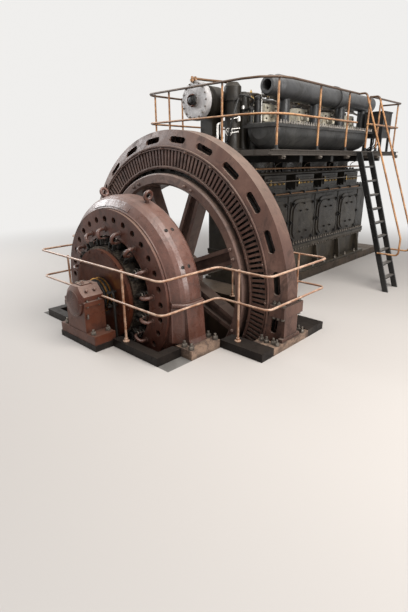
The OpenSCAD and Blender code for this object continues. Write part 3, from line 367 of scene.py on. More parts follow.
# Painted castings: finish, material, fresh, faded, dusty and bare tones, then gloss, dust, shine, cast and the heights
# of painted underside shade
PAINTS = (
    ("alternator", "alternator_paint", (0.08, 0.037, 0.026), (0.142, 0.077, 0.056), (0.3, 0.24, 0.195),
     (0.026, 0.013, 0.009), 0.42, 0.55, 0.4),
    ("rotor", "rotor_paint", (0.13, 0.074, 0.058), (0.205, 0.126, 0.1), (0.24, 0.19, 0.15),
     (0.035, 0.022, 0.018), 0.3, 0.5),
    ("exciter", "exciter_paint", (0.092, 0.035, 0.023), (0.152, 0.068, 0.05), (0.3, 0.21, 0.17),
     (0.036, 0.017, 0.012), 0.19, 0.38, 0.6, 0.0018),
    ("shield", "exciter_shield_paint", (0.078, 0.026, 0.016), (0.135, 0.055, 0.038), (0.36, 0.26, 0.2),
     (0.022, 0.01, 0.007), 0.26, 0.5, 0.35, 0.0017),
    ("pedestal", "pedestal_paint", (0.088, 0.024, 0.011), (0.122, 0.046, 0.027), (0.25, 0.15, 0.11),
     (0.034, 0.013, 0.008), 0.26, 0.4, 0.35),
    ("bearing", "bearing_paint", (0.078, 0.02, 0.01), (0.11, 0.038, 0.022), (0.36, 0.26, 0.21),
     (0.026, 0.01, 0.006), 0.22, 0.8, 0.4),
    ("cover", "commutator_cover_paint", (0.058, 0.012, 0.004), (0.088, 0.026, 0.011), (0.16, 0.07, 0.04),
     (0.018, 0.006, 0.004), 0.34, 0.3, 0.2),
    ("kerb", "kerb_paint", (0.013, 0.01, 0.009), (0.028, 0.021, 0.017), (0.1, 0.085, 0.072),
     (0.009, 0.007, 0.006), 0.24, 0.2, 0.12),
    ("engine", "engine_paint", (0.011, 0.009, 0.0065), (0.027, 0.022, 0.016), (0.085, 0.068, 0.05),
     (0.006, 0.005, 0.004), 0.28, 0.4, 0.3),
    ("bedplate", "bedplate_paint", (0.03, 0.024, 0.016), (0.06, 0.047, 0.032), (0.13, 0.105, 0.075),
     (0.012, 0.009, 0.006), 0.3, 0.5, 0.35),
    ("doors", "door_paint", (0.017, 0.013, 0.009), (0.038, 0.031, 0.021), (0.09, 0.072, 0.052),
     (0.007, 0.005, 0.004), 0.24, 0.3, 0.3),
    ("plinth", "plinth_paint", (0.03, 0.018, 0.01), (0.07, 0.045, 0.027), (0.19, 0.14, 0.1),
     (0.012, 0.009, 0.006), 0.34, 0.7, 0.35),
    ("trough", "trough_paint", (0.028, 0.028, 0.028), (0.068, 0.066, 0.062), (0.2, 0.19, 0.175),
     (0.012, 0.011, 0.01), 0.28, 0.6, 0.4),
    ("air", "air_pipe_paint", (0.04, 0.04, 0.042), (0.066, 0.066, 0.066), (0.21, 0.205, 0.2),
     (0.022, 0.02, 0.018), 0.28, 0.6, 0.5, 0.0012, (4.93, 5.12)),
    ("black", "black_paint", (0.008, 0.008, 0.008), (0.018, 0.017, 0.016), (0.09, 0.08, 0.07),
     (0.004, 0.004, 0.004), 0.3, 0.35, 0.35),
    ("iron", "dark_iron", (0.008, 0.007, 0.006), (0.018, 0.015, 0.012), (0.06, 0.05, 0.04),
     (0.004, 0.003, 0.003), 0.42, 0.4, 0.3),
)
# Hand rails: finish, material, fresh, worn and bare tones (the bare tone is also the painted shade underneath), gloss,
# and the heights above which the rail is darker
RAILS = (
    ("rail", "rail_paint", (0.25, 0.105, 0.035), (0.46, 0.235, 0.095), (0.07, 0.035, 0.018), 0.28, (5.05, 5.09)),
    ("guard", "guard_rail_paint", (0.27, 0.125, 0.065), (0.5, 0.32, 0.22), (0.07, 0.035, 0.022), 0.24),
)
# Metals: finish, material, clean and stained tones (the stained tone also paints shade in corners), gloss, and how much
# of it is stained
METALS = (
    ("stud", "dusty_studs", (0.3, 0.275, 0.25), (0.07, 0.058, 0.048), 0.45, 0.5),
    ("brown_pipe", "brown_pipe", (0.26, 0.15, 0.085), (0.08, 0.05, 0.032), 0.36, 0.6),
    ("steel", "machined_steel", (0.58, 0.57, 0.55), (0.1, 0.08, 0.06)),
    ("bright", "rubbed_steel", (0.62, 0.6, 0.57), (0.14, 0.11, 0.085), 0.32, 0.25),
    ("nut", "nut_steel", (0.2, 0.175, 0.15), (0.045, 0.034, 0.026), 0.42, 0.7),
    ("oiled_brass", "oiled_brass", (0.55, 0.37, 0.14), (0.08, 0.05, 0.02), 0.32, 0.6),
)
OTHERS = (
    ("brass", "slip_ring_brass", ring_brass), ("sole", "rusty_sole", rusty_sole),
    ("concrete", "old_concrete", concrete), ("cream", "cream_enamel", cream_enamel),
    ("deck", "chequered_plate", deck_plate), ("commutator", "commutator_copper", commutator_copper),
    ("winding", "taped_winding", taped_winding), ("silver", "aluminium_paint", aluminium_paint),
)
MADE = {}


def finishes():
    for rows, make in ((PAINTS, painted_iron), (RAILS, pipe_paint), (METALS, bare_metal)):
        for finish, *values in rows:
            MADE[finish] = make(*values)
    for finish, material, make in OTHERS:
        MADE[finish] = make(material)


# The nodes that wear each finish
WORN_BY = {
    "plinth": "engine_foundation",
    "concrete": "side_foundations exciter_piers front_foundation",
    "kerb": "kerbs",
    "sole": "alternator_soles exciter_soles",
    "pedestal": "bearing_pedestal",
    "bearing": "bearing_cap",
    "exciter": "exciter_frame brush_gear lifting_eyes",
    "shield": "exciter_shield",
    "iron": "exciter_poles stator_core rotor_poles",
    "alternator": "stator_frame shield_exciter_side shield_engine_side",
    "winding": "stator_windings armature",
    "bedplate": "bedplate",
    "engine": "crankcase pump_row cylinder_jackets fuel_pipes compressor compressor_cylinders",
    "doors": "crankcase_doors",
    "cream": "cylinder_heads",
    "trough": "exhaust_trough",
    "air": "air_pipe",
    "black": "platform_beams ladder service_tank",
    "deck": "platform_deck",
    "rail": "platform_posts platform_rails ladder_handrails",
    "silver": "compressor_cover",
    "guard": "guard_posts guard_rails",
    "steel": "shaft",
    "rotor": "rotor_spider rotor_rim",
    "commutator": "commutator",
    "cover": "commutator_cover",
    "brass": "slip_rings",
}

# Width of the rounding on castings' edges
ROUNDED = {
    "kerbs": 0.022, "alternator_soles": 0.012, "exciter_soles": 0.012, "bearing_pedestal": 0.008,
    "bearing_cap": 0.008, "exciter_frame": 0.010, "exciter_shield": 0.004, "engine_foundation": 0.012,
    "crankcase_doors": 0.006, "exhaust_trough": 0.004,
}


def round_edges(made, width):
    bevel = made.modifiers.new("edges", "BEVEL")
    bevel.width, bevel.segments = width, 2
    bevel.limit_method, bevel.angle_limit = "ANGLE", radians(40)
    bevel.harden_normals = True


def dress_nodes():
    """Gives each node its finish, and the castings in ROUNDED a small rounding on their edges."""
    for finish, names in WORN_BY.items():
        for name in names.split():
            NODES[name].data.materials.clear()
            NODES[name].data.materials.append(MADE[finish])
    for name, width in ROUNDED.items():
        round_edges(NODES[name], width)


# Places

def along(point, axis=(0, 0, 1), spin=0.0):
    """A place whose Z runs along axis, with X as near to the shaft's direction as it can be."""
    up = Vector(axis).normalized()
    across = Vector((0, 1, 0)).cross(up)
    across = Vector((1, 0, 0)) if across.length < 0.01 else across.normalized()
    turn = Matrix((across, up.cross(across), up)).transposed().to_4x4()
    return Matrix.Translation(point) @ turn @ Matrix.Rotation(spin, 4, "Z")


def polar(x, angle, radius=0.0):
    """A place at an angle round the shaft: Z points outward, X along the shaft. Angles go from the top to the front."""
    spin = Matrix.Rotation(radians(angle), 4, "X")
    return Matrix.Translation((x, 0, SHAFT_Z)) @ spin @ Matrix.Translation((0, 0, radius))


def facing(x, angle, radius, out):
    """The same place on a face across the shaft, with Z along the shaft to the side that out gives."""
    return polar(x, angle, radius) @ Matrix.Rotation(out * pi / 2, 4, "Y")


def at(place, *points):
    return [place @ Vector(p) for p in points]


def circle(count, radius, start=0.0):
    """Points spread evenly over a circle, the first of them start steps from its X axis."""
    return [(radius * cos(t), radius * sin(t)) for t in (2 * pi * (i + start) / count for i in range(count))]


def row(start, end, step):
    """Numbers from start to below end, each a step on from the last."""
    found = [start]
    while found[-1] + step < end:
        found.append(found[-1] + step)
    return found


def rounded(points, bend, steps=6):
    """The points with each corner replaced by a curve."""
    points = [Vector(p) for p in points]
    path = [points[0]]
    for a, b, c in zip(points, points[1:], points[2:]):
        cut = min(bend, (a - b).length * 0.49, (c - b).length * 0.49)
        start, end = b + (a - b).normalized() * cut, b + (c - b).normalized() * cut
        for i in range(steps + 1):
            t = i / steps
            path.append(start.lerp(b, t).lerp(b.lerp(end, t), t))
    return path + [points[-1]]


def placed(name, data):
    made = bpy.data.objects.new(name, data)
    bpy.context.scene.collection.objects.link(made)
    return made


# Shapes

PIECES = []


class Shape:
    """Collects points and faces. One with a name becomes a piece that rides on a body."""

    def __init__(self, name="", slot="", finish="", edge=0.0, body="root", replaces=()):
        self.name, self.slot, self.finish, self.edge = name, slot, finish, edge
        self.body, self.replaces = body, replaces
        self.points = []
        self.faces = []
        if name:
            PIECES.append(self)

    def rings(self, rings, closed=False):
        base, n = len(self.points), len(rings[0])
        for ring in rings:
            self.points.extend(ring)
        count = len(rings)
        for i in range(count if closed else count - 1):
            a, b = base + i * n, base + (i + 1) % count * n
            for j in range(n):
                k = (j + 1) % n
                self.faces.append((a + j, a + k, b + k, b + j))
        if not closed:
            self.faces.append(tuple(base + j for j in reversed(range(n))))
            self.faces.append(tuple(base + (count - 1) * n + j for j in range(n)))

    def lathe(self, profile, place, steps=24):
        """profile holds (radius, height) from one end to the other, with no radius of 0."""
        self.rings([at(place, *((x, y, height) for x, y in circle(steps, radius))) for radius, height in profile])

    def hoop(self, profile, place, steps=48):
        """A closed profile of (radius, height) turned all the way round."""
        self.rings([at(place, *((r * x, r * y, h) for r, h in profile)) for x, y in circle(steps, 1)], closed=True)

    def tube(self, points, radius, steps=10):
        """A round bar along the points. radius is a number, or one for each point."""
        points = [Vector(p) for p in points]
        radii = radius if isinstance(radius, list) else [radius] * len(points)
        side = (points[1] - points[0]).orthogonal().normalized()
        rings = []
        for i, point in enumerate(points):
            ahead = points[min(i + 1, len(points) - 1)] - points[max(i - 1, 0)]
            ahead.normalize()
            side = (side - ahead * side.dot(ahead)).normalized()
            other = ahead.cross(side)
            rings.append([point + (side * x + other * y) * radii[i] for x, y in circle(steps, 1)])
        self.rings(rings)

    def pipe(self, points, bend, radius, steps=10, curve=6):
        """A tube with rounded bends."""
        self.tube(rounded(points, bend, curve), radius, steps)

    def box(self, low, high, place=Matrix.Identity(4), taper=1.0):
        """A box whose top is taper times as wide and deep as its foot."""
        (x0, y0, z0), (x1, y1, z1) = low, high
        cx, cy = (x0 + x1) / 2, (y0 + y1) / 2
        corners = ((x0, y0), (x1, y0), (x1, y1), (x0, y1))
        self.rings([at(place, *((cx + (x - cx) * k, cy + (y - cy) * k, z) for x, y in corners))
                    for z, k in ((z0, 1.0), (z1, taper))])

    def nut(self, place, size, stud=0.0, washer=True):
        """A hexagon nut or bolt head with chamfered corners, its washer, and the end of its stud."""
        lift = 0.0
        if washer:
            self.lathe([(size * 0.62, -0.001), (size * 0.62, size * 0.1), (size * 0.3, size * 0.1)], place, 16)
            lift = size * 0.1
        hexagon = ((0.5, 0), (0.577, 0.06), (0.577, 0.58), (0.5, 0.68), (0.3, 0.69))
        self.lathe([(r * size, lift + h * size) for r, h in hexagon], place, 6)
        if stud:
            top = lift + 0.69 * size
            self.lathe([(size * 0.29, top - 0.002), (size * 0.29, top + stud - size * 0.06),
                        (size * 0.2, top + stud)], place, 12)

    def mesh(self, name, material):
        made = bpy.data.meshes.new(name)
        made.from_pydata([tuple(p) for p in self.points], [], self.faces)
        made.materials.append(material)
        return made


def make_pieces():
    for shape in PIECES:
        mesh = shape.mesh(shape.name, MADE[shape.finish])
        mesh.validate()
        mesh.polygons.foreach_set("use_smooth", [True] * len(mesh.polygons))
        mesh.set_sharp_from_angle(angle=radians(38))
        made = placed(shape.name, mesh)
        if shape.edge:
            round_edges(made, shape.edge)
        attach(made, shape.body)
        if shape.replaces:
            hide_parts(*shape.replaces)


# Exciter and its bearing

def exciter_fasteners():
    nuts = Shape("exciter_nuts", "steel", "nut")
    screws = Shape("exciter_pole_screws", "dark_iron", "iron")
    bead = Shape("exciter_split_bead", "exciter_paint", "exciter")
    outline = ((-2.448, 1.165), (-2.422, 1.203), (-2.38, 1.266), (-2.33, 1.298), (-2.27, 1.313), (-2.09, 1.313),
               (-2.045, 1.283))
    for side in SIDES:
        for x, y in ((-2.415, 1.33), (-2.42, 1.455), (-1.985, 1.335), (-1.985, 1.455)):
            nuts.nut(along((x, side * y, HALL_FLOOR + 0.12), spin=x * 7 + y), 0.062, 0.035)
        for x in (-2.285, -2.185):
            for angle in (side * 45, side * 67.5):
                screws.lathe([(0.022, -0.003), (0.022, 0.004), (0.012, 0.007), (0.010, 0.003)],
                             polar(x, angle, EXCITER_R), 16)
        bead.pipe([(x, side * y, SHAFT_Z + 0.036) for x, y in outline], 0.03, 0.031, 16, 4)
    band = Shape("name_band", "exciter_paint", "exciter", 0.002)
    band.rings([at(polar(0, (i - 16) * 1.15), (-2.437, 0, 1.158), (-2.447, 0, 1.166), (-2.405, 0, 1.222),
                   (-2.395, 0, 1.214)) for i in range(33)])


def brush_holders():
    """Three brushes on each arm, each in its box under a coiled spring."""
    boxes = Shape("brush_boxes", "dark_iron", "iron", 0.002)
    springs = Shape("brush_springs", "dark_iron", "nut")
    tails = Shape("brush_tails", "winding", "winding")
    for i in range(16):
        for x in (-2.59, -2.50, -2.42):
            place = polar(x, i * 22.5 - 6.3)
            boxes.box((-0.030, -0.052, 0.668), (0.030, -0.032, 0.742), place)
            boxes.box((-0.030, 0.032, 0.668), (0.030, 0.052, 0.742), place)
            springs.pipe(at(place, (0, 0.03, 0.775), (0, 0.062, 0.77), (0, 0.066, 0.73), (0, 0.04, 0.712)),
                         0.016, 0.006, 6, 4)
            tails.pipe(at(place, (0.02, 0.045, 0.70), (0.03, 0.085, 0.73), (0.03, 0.075, 0.79), (0.01, 0.02, 0.80)),
                       0.03, 0.006, 6, 4)


def bearing_fittings():
    nuts = Shape("bearing_nuts", "steel", "nut")
    lid = Shape("bearing_oil_lid", "exciter_paint", "bearing", 0.002)
    gauge = Shape("bearing_oil_gauge", "exciter_paint", "nut")
    ends = Shape("bearing_end_plate", "exciter_paint", "bearing", 0.002)
    top = SHAFT_Z + 0.222
    gauge_x = BEARING_X - 0.11
    gauge.tube([(BEARING_X - 0.05, 0.083, top + 0.002), (BEARING_X + 0.07, 0.083, top + 0.002)], 0.009)
    for side in SIDES:
        for x in (-0.09, 0.08):
            nuts.nut(along((BEARING_X + x, side * 0.229, SHAFT_Z + 0.025)), 0.024, 0.012)
            nuts.nut(along((BEARING_X + x, side * 0.229, SHAFT_Z - 0.03), DOWN), 0.024)
        for x in (-0.10, 0.12):
            nuts.nut(along((BEARING_X + x, side * 0.325, HALL_FLOOR + 0.20), spin=x * 9), 0.055, 0.03)
        for x in (-0.055, 0.075):
            nuts.lathe([(0.011, -0.002), (0.011, 0.005), (0.006, 0.007)],
                       along((BEARING_X + x, side * 0.062, top)), 12)
        gauge.pipe([(gauge_x, side * 0.222, SHAFT_Z - 0.19), (gauge_x, side * 0.255, SHAFT_Z - 0.19),
                    (gauge_x, side * 0.255, SHAFT_Z - 0.13)], 0.02, 0.010)
    lid.lathe([(0.034, -0.001), (0.034, 0.008), (0.020, 0.012), (0.020, 0.024), (0.012, 0.03)],
              along((BEARING_X - 0.01, 0, top)), 20)
    for x in (-0.05, 0.07):
        lid.lathe([(0.020, -0.004), (0.020, 0.008), (0.012, 0.014)],
                  along((BEARING_X + x, -0.17, SHAFT_Z + 0.156), (0, -0.7, 0.7)), 16)
    ends.lathe([(0.155, -0.004), (0.155, 0.006), (0.135, 0.012), (0.09, 0.016)],
               along((BEARING_X - 0.165, 0, SHAFT_Z), TO_EXCITER), 48)
    half_turn = [radians(a) for a in range(-90, 91, 15)]
    ends.rings([[Vector((BEARING_X - 0.138 - h, r * sin(t) * 1.25, SHAFT_Z - 0.004 - r * 1.25 * cos(t)))
                 for t in half_turn] for h, r in ((0, 0.160), (0.022, 0.160), (0.03, 0.145))])


def slip_ring_brushes():
    """Two brush holders on a pillar in front of the slip rings, clear of them."""
    holders = Shape("slip_ring_holders", "dark_iron", "iron", 0.002)
    carbons = Shape("slip_ring_carbons", "dark_iron", "iron")
    x, y = -2.725, -0.33
    holders.pipe([(x, y, HALL_FLOOR + 0.01), (x, y, SHAFT_Z + 0.06), (x, y + 0.03, SHAFT_Z + 0.10)], 0.04, 0.018, 12)
    holders.box((-0.06, -0.03, 0), (0.06, 0.03, 0.016), along((x, y, HALL_FLOOR)))
    for ring_x in (-2.7545, -2.6945):
        for angle in (72, 108, 252):
            place = polar(ring_x, angle)
            carbons.box((-0.011, -0.018, 0.248), (0.011, 0.018, 0.285), place)
            holders.box((-0.014, -0.022, 0.262), (0.014, 0.022, 0.310), place)
    for angle in (72, 108):
        holders.tube([end for x in (-2.80, -2.65) for end in at(polar(x, angle), (0, 0, 0.305))], 0.012)


# Alternator

def alternator_fasteners():
    nuts = Shape("alternator_nuts", "steel", "nut")
    screws = Shape("shield_screws", "generator_paint", "alternator")
    beads = Shape("shield_beads", "generator_paint", "alternator")
    for side in SIDES:
        for x in (-0.30, 0.30):
            for y in (1.90, 1.985, 2.075, 2.14):
                spot = (ALTERNATOR_X + x + 0.012 * sin(y * 40), side * y, HALL_FLOOR + 0.10)
                nuts.nut(along(spot, spin=y * 9), 0.055, 0.04)
        for x in (-0.185, 0.185):
            for y in (2.00, 2.065, 2.13):
                nuts.nut(along((ALTERNATOR_X + x, side * y, SHAFT_Z - 0.01), spin=y * 7), 0.045, 0.02)
                nuts.nut(along((ALTERNATOR_X + x, side * y, SHAFT_Z - 0.16), DOWN), 0.045)
    for out in SIDES:
        face = ALTERNATOR_X + out * (ALTERNATOR_X - STATOR_FACE)
        for i in range(24):
            screws.nut(facing(face + out * 0.022, i * 15, 1.887, out), 0.024, washer=False)
        for i in range(48):
            screws.nut(facing(face + out * 0.016, (i + 0.5) * 7.5, 1.638, out), 0.018, washer=False)
        beads.hoop([(1.902, -0.004), (1.902, 0.010), (1.908, 0.017), (1.924, 0.017), (1.930, 0.010),
                    (1.930, -0.004)], facing(face, 0, 0, out), 144)


def coil_ends():
    """Looped ends of the stator's coils, seen through the slots and the opening."""
    loops = Shape("coil_ends", "winding", "winding", replaces=["stator_windings"])
    for side in SIDES:
        x = ALTERNATOR_X + side * 0.155
        for i in range(96):
            a, b = i * 3.75, i * 3.75 + 6.2
            path = ((-0.03, a, 1.745), (0.012, a + 0.6, 1.75), (0.012, (a + b) / 2, 1.80), (0.008, b - 0.6, 1.84),
                    (-0.03, b, 1.845))
            loops.pipe([polar(x + side * dx, angle) @ Vector((0, 0, r)) for dx, angle, r in path], 0.03, 0.013, 6, 3)


def rotor_fasteners():
    bolts = Shape("rotor_bolts", "steel", "rotor", body="rotor")
    screws = Shape("commutator_cover_screws", "exciter_paint", "cover", body="rotor")
    for out in SIDES:
        face = ALTERNATOR_X + out * 0.27
        for i in range(16):
            bolts.nut(facing(face, i * 22.5, 0.275, out), 0.045, 0.015)
        for i in range(8):
            for step in (-2.6, 2.6):
                bolts.nut(facing(face, (i + 0.5) * 45 + step, 1.475, out), 0.04, 0.012)
    for i in range(12):
        screws.nut(facing(EXCITER_X - 0.19, i * 30 + 8, 0.595, -1), 0.022, washer=False)


# Engine

def bedplate_studs():
    studs = Shape("bedplate_studs", "engine_paint", "nut")
    for side in SIDES:
        for x in row(0.06, CRANKCASE_END - 0.04, 0.0985):
            studs.nut(along((x, side * 0.507, BEDPLATE_Z + 0.04)), 0.034, 0.028)
            studs.nut(along((x, side * 0.507, BEDPLATE_Z - 0.06), DOWN), 0.034, 0.012)
    for side in SIDES:
        for x in row(0.1, CRANKCASE_END, 0.49):
            studs.nut(along((x, side * 0.565, HALL_FLOOR + 0.21)), 0.05, 0.04)


def door_fittings():
    dogs = Shape("door_dogs", "engine_paint", "black", 0.002)
    studs = Shape("door_studs", "engine_paint", "black")
    middle = BEDPLATE_Z + 0.47
    for side in SIDES:
        outward = (0, side, 0)
        y = side * (CRANKCASE_Y + 0.022)
        for centre in CYLINDERS:
            for dx, dz in ((-0.43, 0), (-0.36, 0.34), (-0.36, -0.34), (0.43, 0), (0.36, 0.34), (0.36, -0.34)):
                place = along((centre + dx, y, middle + dz), outward)
                dogs.lathe([(0.017, -0.01), (0.017, 0.032), (0.011, 0.036)], place, 12)
                dogs.box((-0.012, -0.045, 0.006), (0.012, 0.03, 0.022), place)
                dogs.nut(along((centre + dx, y + side * 0.02, middle + dz), outward), 0.026, 0.012)
            for dx, dz in ((-0.12, 0.2), (0.12, 0.2), (-0.12, -0.2), (0.12, -0.2), (0, 0.33), (0, -0.33)):
                studs.nut(along((centre + dx, side * (CRANKCASE_Y + 0.04), middle + dz), outward), 0.032, 0.012)


def fuel_pumps():
    """Plungers, tappets and delivery pipes on the pump boxes."""
    bodies = Shape("pump_bodies", "engine_paint", "engine", 0.004)
    unions = Shape("pump_unions", "slip_ring_brass", "oiled_brass")
    levers = Shape("pump_levers", "steel", "nut", 0.002)
    pipes = Shape("delivery_pipes", "engine_paint", "nut")
    front = -CRANKCASE_Y - 0.02
    plunger_y = front + 0.07
    top = CRANKCASE_Z + 0.26
    for centre in CYLINDERS:
        bodies.box((centre - 0.27, front - 0.022, CRANKCASE_Z + 0.05), (centre + 0.27, front + 0.01, top - 0.045))
        for x in (centre - 0.2, centre - 0.07, centre + 0.07, centre + 0.2):
            bodies.lathe([(0.034, 0), (0.034, 0.05), (0.026, 0.06), (0.026, 0.085), (0.018, 0.09)],
                         along((x, plunger_y, top)), 16)
            unions.nut(along((x, front - 0.022, CRANKCASE_Z + 0.12), (0, -1, 0)), 0.03, 0.015)
            levers.box((x - 0.012, front - 0.06, CRANKCASE_Z + 0.15), (x + 0.012, front - 0.022, CRANKCASE_Z + 0.175))
        for x, reach in ((centre - 0.2, 0.02), (centre + 0.07, 0.05)):
            start = Vector((x, plunger_y, top + 0.085))
            pipes.pipe([start, start + Vector((0, 0, 0.09)), start + Vector((0.03, -0.10 - reach, 0.16)),
                        start + Vector((0.03, -0.10 - reach, 0.30))], 0.05, 0.008, 8)
            unions.nut(along((x, plunger_y, top + 0.06)), 0.035, washer=False)
    for x in (0.46, 1.37, 2.35, 3.3):
        unions.lathe([(0.006, 0), (0.012, 0.004), (0.012, 0.085), (0.006, 0.09)],
                     along((x, front - 0.034, CRANKCASE_Z + 0.10)), 12)
    levers.tube([(x, front - 0.06, CRANKCASE_Z + 0.162) for x in (0.25, CRANKCASE_END - 0.45)], 0.011)


def side_pipes():
    """Oil and air pipes along the engine, over the doors and under the platform."""
    pipes = Shape("side_pipes", "pipe_copper", "brown_pipe")
    clips = Shape("side_pipe_clips", "engine_paint", "black", 0.002)
    for side in SIDES:
        y, y_door, y_deck = side * (CRANKCASE_Y + 0.032), side * 0.40, side * 0.30
        pipes.pipe([(0.42, y_door, DOOR_PIPE_Z), (0.50, y, DOOR_PIPE_Z), (4.05, y, DOOR_PIPE_Z),
                    (4.15, y_door, DOOR_PIPE_Z)], 0.04, 0.015, 12)
        pipes.pipe([(0.02, y_deck, DECK_PIPE_Z), (0.06, y, DECK_PIPE_Z), (3.95, y, DECK_PIPE_Z - 0.01),
                    (4.0, y_deck, DECK_PIPE_Z - 0.01)], 0.04, 0.015, 12)
        for i in range(8):
            clips.box((-0.014, -0.004, -0.022), (0.014, 0.040, 0.022),
                      along((0.6 + i * 0.49, y + side * 0.018, DOOR_PIPE_Z), (0, side, 0)))


def head_pipes():
    """Water pipes over the heads, and the clutter of small pipes and levers between them."""
    water = Shape("water_outlet_pipes", "engine_paint", "black")
    clutter = Shape("starting_levers", "steel", "nut")
    unions = Shape("head_unions", "slip_ring_brass", "oiled_brass")
    for y, z, radius, steps in ((0.30, 5.04, 0.10, 20), (0.36, 4.86, 0.07, 20), (0.40, 4.66, 0.055, 16)):
        water.tube([(0.30, y, z), (3.95, y, z)], radius, steps)
    for centre in CYLINDERS:
        x = centre + 0.1
        water.pipe([(x, 0.10, 4.80), (x, 0.14, 5.04), (x, 0.30, 5.04)], 0.05, 0.055, 14)
        for dx in (-0.42, -0.36, 0.36, 0.42):
            water.tube([(centre + dx, -0.02, CRANKCASE_Z + 0.02), (centre + dx, -0.02, 5.02)], 0.024, 12)
        for k in range(14):
            y, z = random.uniform(-0.42, 0.10), random.uniform(4.945, 5.10)
            x0, x1 = centre - random.uniform(0.12, 0.30), centre + random.uniform(0.12, 0.30)
            middle = ((x0 + x1) / 2, y + random.uniform(-0.02, 0.02), z + 0.012)
            clutter.tube([(x0, y, z), middle, (x1, y, z - 0.012)], random.uniform(0.010, 0.020))
            if k % 3 == 0:
                unions.nut(along((x0 + 0.05, y, z + 0.012)), 0.035, 0.02)


def valve_gear():
    """Rocker brackets, rockers, springs and cages on each head."""
    cages = Shape("valve_cages", "engine_paint", "engine", 0.003)
    rockers = Shape("rockers", "engine_paint", "nut", 0.003)
    springs = Shape("valve_springs", "steel", "nut")
    rods = Shape("valve_rods", "steel", "bright")
    studs = Shape("head_studs", "steel", "nut")
    top = CYLINDER_Z + 0.42
    for centre in CYLINDERS:
        for x, y in circle(10, 0.292, 0.5):
            studs.nut(along((centre + x, y, CYLINDER_Z + 0.06)), 0.042, 0.03)
        for x in (centre - 0.15, centre + 0.15):
            cages.lathe([(0.075, -0.12), (0.075, 0), (0.058, 0.012), (0.058, 0.05), (0.03, 0.055)],
                        along((x, -0.02, top - 0.04)), 20)
            springs.tube([(x + 0.034 * cos(k * 0.8), -0.02 + 0.034 * sin(k * 0.8), top + 0.015 + k * 0.0024)
                          for k in range(48)], 0.006, 6)
            rods.tube([(x, -0.02, top), (x, -0.02, top + 0.16)], 0.012)
            rockers.pipe([(x, 0.16, top + 0.10), (x, 0.07, top + 0.165), (x, -0.02, top + 0.15)],
                         0.06, [0.02] + [0.026] * 7 + [0.016])
            rods.tube([(x, 0.17, CRANKCASE_Z + 0.02), (x, 0.17, top + 0.11)], 0.014)
        rockers.tube([(centre - 0.24, 0.075, top + 0.15), (centre + 0.24, 0.075, top + 0.15)], 0.022, 12)
        for x in (centre - 0.24, centre + 0.24):
            rockers.box((x - 0.025, 0.045, top - 0.13), (x + 0.025, 0.105, top + 0.175))
        cages.lathe([(0.05, 0), (0.05, 0.07), (0.035, 0.08), (0.035, 0.15), (0.02, 0.16)],
                    along((centre, -0.03, top)), 20)


def exhaust_studs():
    studs = Shape("exhaust_trough_studs", "black_paint", "stud")
    lid = Shape("exhaust_trough_lid", "black_paint", "trough", 0.004)
    for x in row(-0.03, 3.37, 0.0745):
        studs.nut(along((x, -0.955, CYLINDER_Z + 0.04)), 0.034, 0.03)
    lid.box((-0.035, -0.93, 0), (3.34, -0.37, 0.025), along((0, 0, CYLINDER_Z + 0.038)), 0.995)


def air_pipe_fittings():
    """Flanges of the air pipe and of its branches, and the cream valve chests beside the heads."""
    hoops = Shape("air_pipe_flanges", "black_paint", "air", 0.002)
    chests = Shape("valve_chests", "head_paint", "cream", 0.02)
    nuts = Shape("air_pipe_nuts", "steel", "nut")
    for y, z in circle(12, 0.185):
        nuts.nut(along((2.328, AIR_PIPE_Y + y, AIR_PIPE_Z + z), (1, 0, 0)), 0.022, 0.008)
    hoops.hoop([(0.082, 0), (0.122, 0), (0.122, -0.012), (0.082, -0.012)],
               along((0.16, AIR_PIPE_Y, AIR_PIPE_Z), (1, 0, 0)))
    for centre in CYLINDERS:
        chests.box((-0.21, -0.37, 0), (0.20, -0.18, 0.28), along((centre, 0, CYLINDER_Z + 0.12)), 0.84)
        chests.box((-0.04, -0.46, 0), (0.25, -0.28, 0.13), along((centre, 0, CYLINDER_Z + 0.06)), 0.92)
        chests.lathe([(0.06, -0.01), (0.06, 0.03), (0.045, 0.04), (0.02, 0.042)],
                     along((centre - 0.03, -0.355, CYLINDER_Z + 0.25), (0, -1, 0.1)), 20)
        for dx, dz in ((-0.16, 0.17), (0.13, 0.17), (-0.13, 0.33), (0.10, 0.33)):
            nuts.nut(along((centre + dx, -0.352, CYLINDER_Z + dz), (0, -1, 0.1)), 0.03, 0.012)
        hoops.lathe([(0.135, 0), (0.135, 0.022), (0.092, 0.026), (0.092, 0.05)],
                    along((centre, AIR_PIPE_Y, CYLINDER_Z + 0.062)), 32)
        for x, y in circle(8, 0.115, 0.5):
            nuts.nut(along((centre + x, AIR_PIPE_Y + y, CYLINDER_Z + 0.084)), 0.024, 0.01)


def crankcase_trim():
    seams = Shape("crankcase_seams", "engine_paint", "engine", 0.004)
    nuts = Shape("crankcase_top_nuts", "engine_paint", "engine")
    for side in SIDES:
        y = side * CRANKCASE_Y
        for x in [centre - 0.49 for centre in CYLINDERS] + [CYLINDERS[-1] + 0.49]:
            seams.box((x - 0.022, y - 0.012, BEDPLATE_Z + 0.04), (x + 0.022, y + 0.012, CRANKCASE_Z - 0.05))
        for x in row(0.08, CRANKCASE_END, 0.14):
            nuts.nut(along((x, side * 0.49, CRANKCASE_Z)), 0.026, 0.012)


# Platform, ladder and guard rail

POSTS = ((-0.41, -1.201), (0.63, -1.2577), (1.60, -1.2577), (2.42, -1.2577), (2.90, -1.2577), (3.838, -1.238),
         (-0.50, 1.2577), (0.143, 1.2577), (1.10, 1.2577), (2.05, 1.2577), (3.00, 1.2577), (3.838, 1.238),
         (-0.6477, -0.39), (-0.6477, 0.745), (3.8577, -0.86), (3.8577, 0.86))
